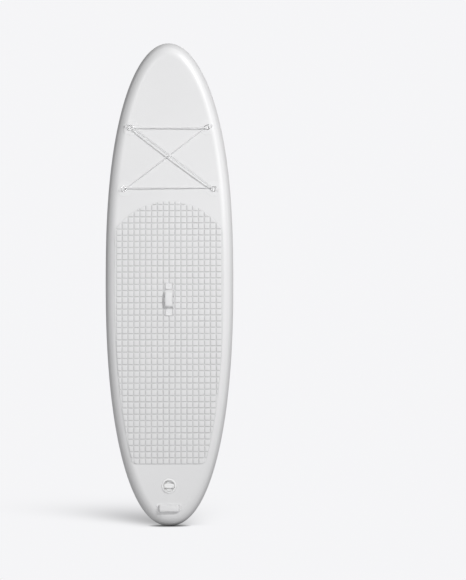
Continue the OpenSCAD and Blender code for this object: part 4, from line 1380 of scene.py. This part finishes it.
def build_tether():
    """A flat strap from the anchor post round to the ring on the cap's neck."""
    z, t = -16.2 * MM, 1.4 * MM
    r = 26 * MM
    a = np.radians(np.linspace(172, 6, 60))
    arc = np.stack([r * np.cos(a), r * np.sin(a), np.full(len(a), z + t / 2)], 1)
    tip = np.array([[25.6 * MM, 0.6 * MM, z + t / 2]])
    path = VALVE.world(np.concatenate([arc, tip]))
    section = rounded_rect(t, 4 * MM, 0.5 * MM, 4)
    strap = sweep("strap", path, VALVE.axes[2], section, WHITE)
    eye = lathe("eye", rounded_profile([(1.8, -16.2), (3.4, -16.2), (3.4, -14.8), (1.8, -14.8)], 0.35),
                VALVE.moved(x=-r), WHITE, 32)
    tether = joined("valve_tether_band", [eye, strap])
    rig.slot(tether, "white_plastic")
    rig.replaces(tether, "valve_tether_strap")
    post_side, cap_side = VALVE.world([-22 * MM, 0, z]), VALVE.world([24 * MM, 0, z])
    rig.blend(tether, "board", "valve_cap_carrier", start=post_side, end=cap_side)
    collar = [(17.5, -16.2), (22, -16.2), (22, -14.8), (17.5, -14.8)]
    neck_ring = lathe("neck_ring", rounded_profile(collar, 0.4), VALVE, WHITE, 96)
    link = layered("link", lambda i: rounded_rect(2.8 * MM - i, 6 * MM - 2 * i, 0.5 * MM, 4),
                   soft_levels(z, z + t, 0.3 * MM, 0.6 * MM), VALVE.moved(x=22.5 * MM), WHITE)
    piece(joined("valve_tether_collar", [neck_ring, link]), "valve_cap_carrier", "white_plastic",
          "valve_tether_ring")


def build_spring():
    low, high = -42.8 * MM, -32.2 * MM
    turns, r, wire = 4, 4.8 * MM, 0.6 * MM
    a = np.linspace(0, 2 * math.pi * turns, turns * 36 + 1)
    path = np.stack([r * np.cos(a), r * np.sin(a), low + (high - low) * a / a[-1]], 1)
    spring = sweep("valve_return_spring", VALVE.world(path), VALVE.axes[2], circle(wire, 8), SCREW_STEEL)
    piece(spring, "board", "steel", "valve_spring")
    travel = JOINTS["valve_stem_push"]["range_m"][1]
    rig.squash(spring, "valve_stem_push", axis=(0, 1, 0), anchor=VALVE.world([0, 0, low]),
              keep=1 - travel / (high - low))


def build_valve():
    build_housing()
    build_cap()
    build_tether()
    build_spring()


# ---- fins ----

SKIRT_AROUND = 36
MIN_HALF = 0.35 * MM             # half the thickness of a blade's thinnest edge


def foil(around):
    """Round a blade's section: the angle, the side (1 or -1), the share of the chord and of the belly."""
    turn = np.linspace(0, 2 * math.pi, 2 * around, endpoint=False)
    c = (1 - np.cos(turn)) / 2
    return turn, np.where(turn <= math.pi, 1.0, -1.0), c, np.sin(math.pi * c ** 0.7) ** 0.7


def blade(name, place, chord, depth, rake, thick, levels=44, around=36):
    """A raked, foiled blade on the place's XY plane, leading edge towards -Y."""
    s = 0.999 * np.sin(np.linspace(0, math.pi / 2, levels + 1))
    s = np.concatenate([[-0.004], s])
    clear = np.clip(s, 0, 1)
    chords = chord * np.sqrt(1 - clear ** 2.4) * (1 - 0.3 * clear)
    lead = rake * clear ** 1.7
    _, side, c, belly = foil(around)
    half = np.maximum(thick / 2 * (1 - 0.5 * clear)[:, None] * belly[None, :], MIN_HALF)
    x = side * half
    y = lead[:, None] + c[None, :] * chords[:, None]
    z = np.broadcast_to((depth * s / 0.999)[:, None], x.shape)
    return grid_solid(name, place.world(np.stack([x, y, z], -1)), FIN, angle=50)


def fillet_skirt(name, place, chord, thick, reach, height):
    """The hollow curve where a blade flows into its base."""
    turn, side, c, belly = foil(SKIRT_AROUND)
    half = np.maximum(thick / 2 * belly, MIN_HALF)
    outline = np.stack([side * half, c * chord], 1)
    normal = np.stack([side * 1.0, -0.35 * np.cos(turn)], 1)
    normal /= np.linalg.norm(normal, axis=1, keepdims=True)
    rings = []
    for b in np.linspace(0, math.pi / 2, 6):
        grow = reach * (1 - math.sin(b))
        level = np.full(len(outline), height * (1 - math.cos(b)))
        rings.append(np.column_stack([outline + grow * normal, level]))
    return grid_solid(name, place.world(np.array(rings)), FIN, angle=60)


BOX_SEAT = 1.5 * MM              # the fin box's base over the bottom skin
SIDE_CHORD = 112 * MM
SIDE_THICK = 9 * MM
SIDE_SEAT = 4.0 * MM             # the side blade's root over the bottom skin


def build_centre_fin():
    fin = bottom_place(0, centre("fin_box").z).moved(z=BOX_SEAT)
    root = extent("fin_box").y + 0.4 * MM
    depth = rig.box("centre_fin")[1].y - (HULL_Y + HALF_T) - BOX_SEAT - root
    base = fin.moved(y=-62 * MM, z=root)
    parts = [blade("blade", base, 180 * MM, depth, 165 * MM, 11 * MM)]
    tab = fin.moved(y=11.5 * MM)
    parts.append(layered("tab", lambda i: rounded_rect(9.4 * MM - 2 * i, 155 * MM - 2 * i, 1.2 * MM, 4),
                         soft_levels(8.5 * MM, root + 0.5 * MM, 0.6 * MM, 2 * MM), tab, FIN))
    tongue = fin.moved(y=-77 * MM)
    ring = layered("tongue", lambda i: rounded_rect(9.4 * MM - 2 * i, 24 * MM - 2 * i, 1.5 * MM, 4),
                   soft_levels(20 * MM, 23.5 * MM, 0.5 * MM, 2 * MM), tongue, FIN)
    eye = [np.column_stack([circle(2.2 * MM, 32), np.full(32, h)]) for h in (15 * MM, 30 * MM)]
    cut(ring, [grid_solid("bore", fin.moved(y=-79 * MM).world(np.array(eye)), FIN)])
    parts.append(ring)
    piece(joined("centre_fin_blade", parts), "fin_carriage", "fin_plastic", "centre_fin")



def build_fins():
    build_centre_fin()
    box_patch = plate("fin_box_base_patch", (110 * MM, 350 * MM), 55 * MM, PATCH_LOW, PATCH_HIGH,
                      bottom_place(0, centre("fin_box").z), PVC_PATCH, steps=20)
    piece(box_patch, "board", "pvc_patch", "fin_box_patch")
    patches = []
    for node in ("left_side_fin", "right_side_fin"):
        place = bottom_place(centre(node).x, centre("side_fin_patches").z)
        patches.append(plate("side_patch", (70 * MM, 190 * MM), 35 * MM, PATCH_LOW, PATCH_HIGH, place,
                             PVC_PATCH, steps=16))
        foot = plate("foot", (34 * MM, 150 * MM), 17 * MM, 1.5 * MM, 4.5 * MM, place, FIN, 1.2 * MM, steps=14)
        root = place.moved(y=-58 * MM, z=SIDE_SEAT)
        skirt = fillet_skirt("skirt", root.moved(z=0.45 * MM), SIDE_CHORD, SIDE_THICK, 3.5 * MM, 4 * MM)
        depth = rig.box(node)[1].y - (HULL_Y + HALF_T) - 5.5 * MM
        side_blade = blade("blade", root, SIDE_CHORD, depth, 62 * MM, SIDE_THICK, 36, 28)
        piece(joined(node + "_blade", [foot, skirt, side_blade]), "board", "fin_plastic", node)
    piece(joined("side_fin_base_patches", patches), "board", "pvc_patch", "side_fin_patches")


# ---- CAD parts that stay, with their own finish ----

KEPT = {
    "drop_stitch_threads": YARN, "valve_gasket": RUBBER, "valve_clamp_nut": WHITE, "valve_seal_disc": RUBBER,
    "valve_seal_clip": WHITE, "valve_stem": WHITE, "valve_cap_o_ring": RUBBER, "fin_box": FIN,
    "fin_pin": BRASS, "fin_screw": SCREW_STEEL, "fin_plate_nut": BRASS,
}
SOFTENED = {"fin_box": 0.7 * MM, "fin_screw": 0.25 * MM, "fin_plate_nut": 0.3 * MM,
            "valve_clamp_nut": 0.6 * MM, "fin_pin": 0.3 * MM}


def finish_kept():
    for name, material in KEPT.items():
        node = frame["nodes"][name]
        node.data.materials.clear()
        node.data.materials.append(material)
        shade(node.data, 35)
        if name in SOFTENED:
            bevel = node.modifiers.new("soft_edges", "BEVEL")
            bevel.width = SOFTENED[name]
            bevel.segments = 3
            bevel.limit_method = "ANGLE"
            bevel.angle_limit = math.radians(40)
            bevel.harden_normals = True


# ---- stage: pale floor, soft light, camera ----

BACKGROUND = (0.915, 0.915, 0.93)
FLOOR_BOUNCE = 0.34             # how bright the floor is to everything but the camera
FLOOR_CONTACT = 0.05            # how far the painted dark contact shadow under the tail reaches
SHADOW_WAY = (-0.33, 0.944)     # the painted soft shadow runs back and to the left
# how dark the painted floor shadow is at its deepest
SHADOW_DEPTH = 0.55
# name, place, what it points at, size and power in watts
LIGHTS = (
    ("key", (4.2, -5.2, 4.6), (0, 0, 1.5), (0.5, 0.5), 305),
    ("fill", (-2.9, -7.4, 1.0), (0, 0, 1.2), (2.4, 1.6), 180),
    ("back", (0.3, 8.0, 3.8), (0, 0, 1.4), (1.2, 1.2), 280),
)


def stage_floor():
    """A pale glowing floor in the background's own tone, darker only in a painted soft shadow and a painted contact
    shadow where the board would shade it.
    """
    mat = bpy.data.materials.new("stage_floor")
    g = Graph(mat)
    g.tree.nodes.remove(g.tree.nodes["Principled BSDF"])
    here = g.add("ShaderNodeSeparateXYZ", {0: g.add("ShaderNodeTexCoord").outputs["Object"]}).outputs

    def along(a, b):
        return g.math("ADD", g.math("MULTIPLY", here["X"], a), g.math("MULTIPLY", here["Y"], b))

    def bell(value, width):
        t = g.math("DIVIDE", value, width)
        return g.math("EXPONENT", g.math("MULTIPLY", g.math("MULTIPLY", t, t), -1.0))

    # Painted shadow: a soft dark patch running back and left from the board's foot.
    u = g.math("ADD", along(*SHADOW_WAY), -0.02)
    v = along(SHADOW_WAY[1], -SHADOW_WAY[0])
    behind, before = g.math("MAXIMUM", u, 0.0), g.math("MINIMUM", u, 0.0)
    width = g.math("ADD", g.math("MULTIPLY", behind, 0.26), 0.15)
    lengthwise = g.math("MULTIPLY", bell(behind, 1.15), bell(before, 0.10))
    painted_shadow = g.math("MULTIPLY", bell(v, width), lengthwise)
    fall = g.math("SUBTRACT", 1.0, g.math("MULTIPLY", painted_shadow, SHADOW_DEPTH))
    # Painted contact shadow: ambient occlusion darkens the floor right under the board.
    near = g.add("ShaderNodeAmbientOcclusion", {"Distance": FLOOR_CONTACT}, samples=24)
    cast = g.math("MULTIPLY", fall, near.outputs["AO"])
    tone = g.add("ShaderNodeVectorMath", {0: BACKGROUND, "Scale": cast}, operation="SCALE")
    seen = g.math("MULTIPLY", g.add("ShaderNodeLightPath").outputs["Is Camera Ray"], 1 - FLOOR_BOUNCE)
    strength = g.math("ADD", seen, FLOOR_BOUNCE)
    glow = g.add("ShaderNodeEmission", {"Color": tone.outputs[0], "Strength": strength})
    g.tree.links.new(glow.outputs[0], g.tree.nodes["Material Output"].inputs["Surface"])
    rim = circle(60, 64)
    disc = np.column_stack([rim, np.full(len(rim), -0.5 * MM)])
    floor = make("stage_floor", disc, [tuple(range(len(rim)))], mat)
    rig.stage(floor)


def stage_world():
    """Plain background to the camera; the light on the object comes more from the right."""
    world = bpy.data.worlds.new("studio")
    bpy.context.scene.world = world
    g = Graph(world)
    here = g.add("ShaderNodeSeparateXYZ", {0: g.add("ShaderNodeTexCoord").outputs["Generated"]})
    ramp = g.add("ShaderNodeMapRange", {0: here.outputs["X"], 1: -0.92, 2: -0.06, 3: 0.0, 4: 0.44},
                 interpolation_type="SMOOTHSTEP")
    lit = g.tree.nodes["Background"]
    lit.inputs["Color"].default_value = (1, 1, 1, 1)
    g.tree.links.new(ramp.outputs[0], lit.inputs["Strength"])
    seen = g.add("ShaderNodeBackground", {"Color": (*BACKGROUND, 1)})
    to_camera = g.add("ShaderNodeLightPath").outputs["Is Camera Ray"]
    mix = g.add("ShaderNodeMixShader", {0: to_camera, 1: lit.outputs[0], 2: seen.outputs[0]})
    g.tree.links.new(mix.outputs[0], g.tree.nodes["World Output"].inputs["Surface"])


def area_light(name, location, target, size, power):
    data = bpy.data.lights.new(name, "AREA")
    data.shape = "RECTANGLE"
    data.size, data.size_y = size
    data.energy = power
    light = bpy.data.objects.new(name, data)
    bpy.context.scene.collection.objects.link(light)
    light.location = location
    light.rotation_mode = "QUATERNION"
    light.rotation_quaternion = (Vector(target) - Vector(location)).to_track_quat("-Z", "Y")


def stage_camera():
    """A long lens, low, with the board left of the middle, as in the studio picture."""
    distance = 9.0
    height = 0.90
    frame_height = 3.656
    horizon = 0.6592                  # the camera's height, as a share of the picture's, from its top
    data = bpy.data.cameras.new("camera")
    data.lens = data.sensor_width * distance / frame_height
    pitch = math.atan((horizon - 0.5) * frame_height / distance)
    camera = bpy.data.objects.new("camera", data)
    bpy.context.scene.collection.objects.link(camera)
    camera.location = (0.4025, HULL_Y - HALF_T - distance, height)
    camera.rotation_euler = (math.radians(90) + pitch, math.radians(0.19), 0)
    bpy.context.scene.camera = camera


def build_stage():
    stage_floor()
    stage_world()
    stage_camera()
    for light in LIGHTS:
        area_light(*light)
    settings = bpy.context.scene.view_settings
    settings.view_transform = "Standard"
    settings.look = "None"


deck_shell = build_hull()
on_deck = draper(surface_of(deck_shell))
build_pad()
build_handles(on_deck)
build_cargo(on_deck)
build_valve()
build_fins()
finish_kept()
build_stage()

VISUAL_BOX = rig.bounds()
with open("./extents.json", "w") as size_file:
    json.dump({"cad_box": [list(v) for v in CAD_BOX], "visual_box": [list(v) for v in VISUAL_BOX]}, size_file)
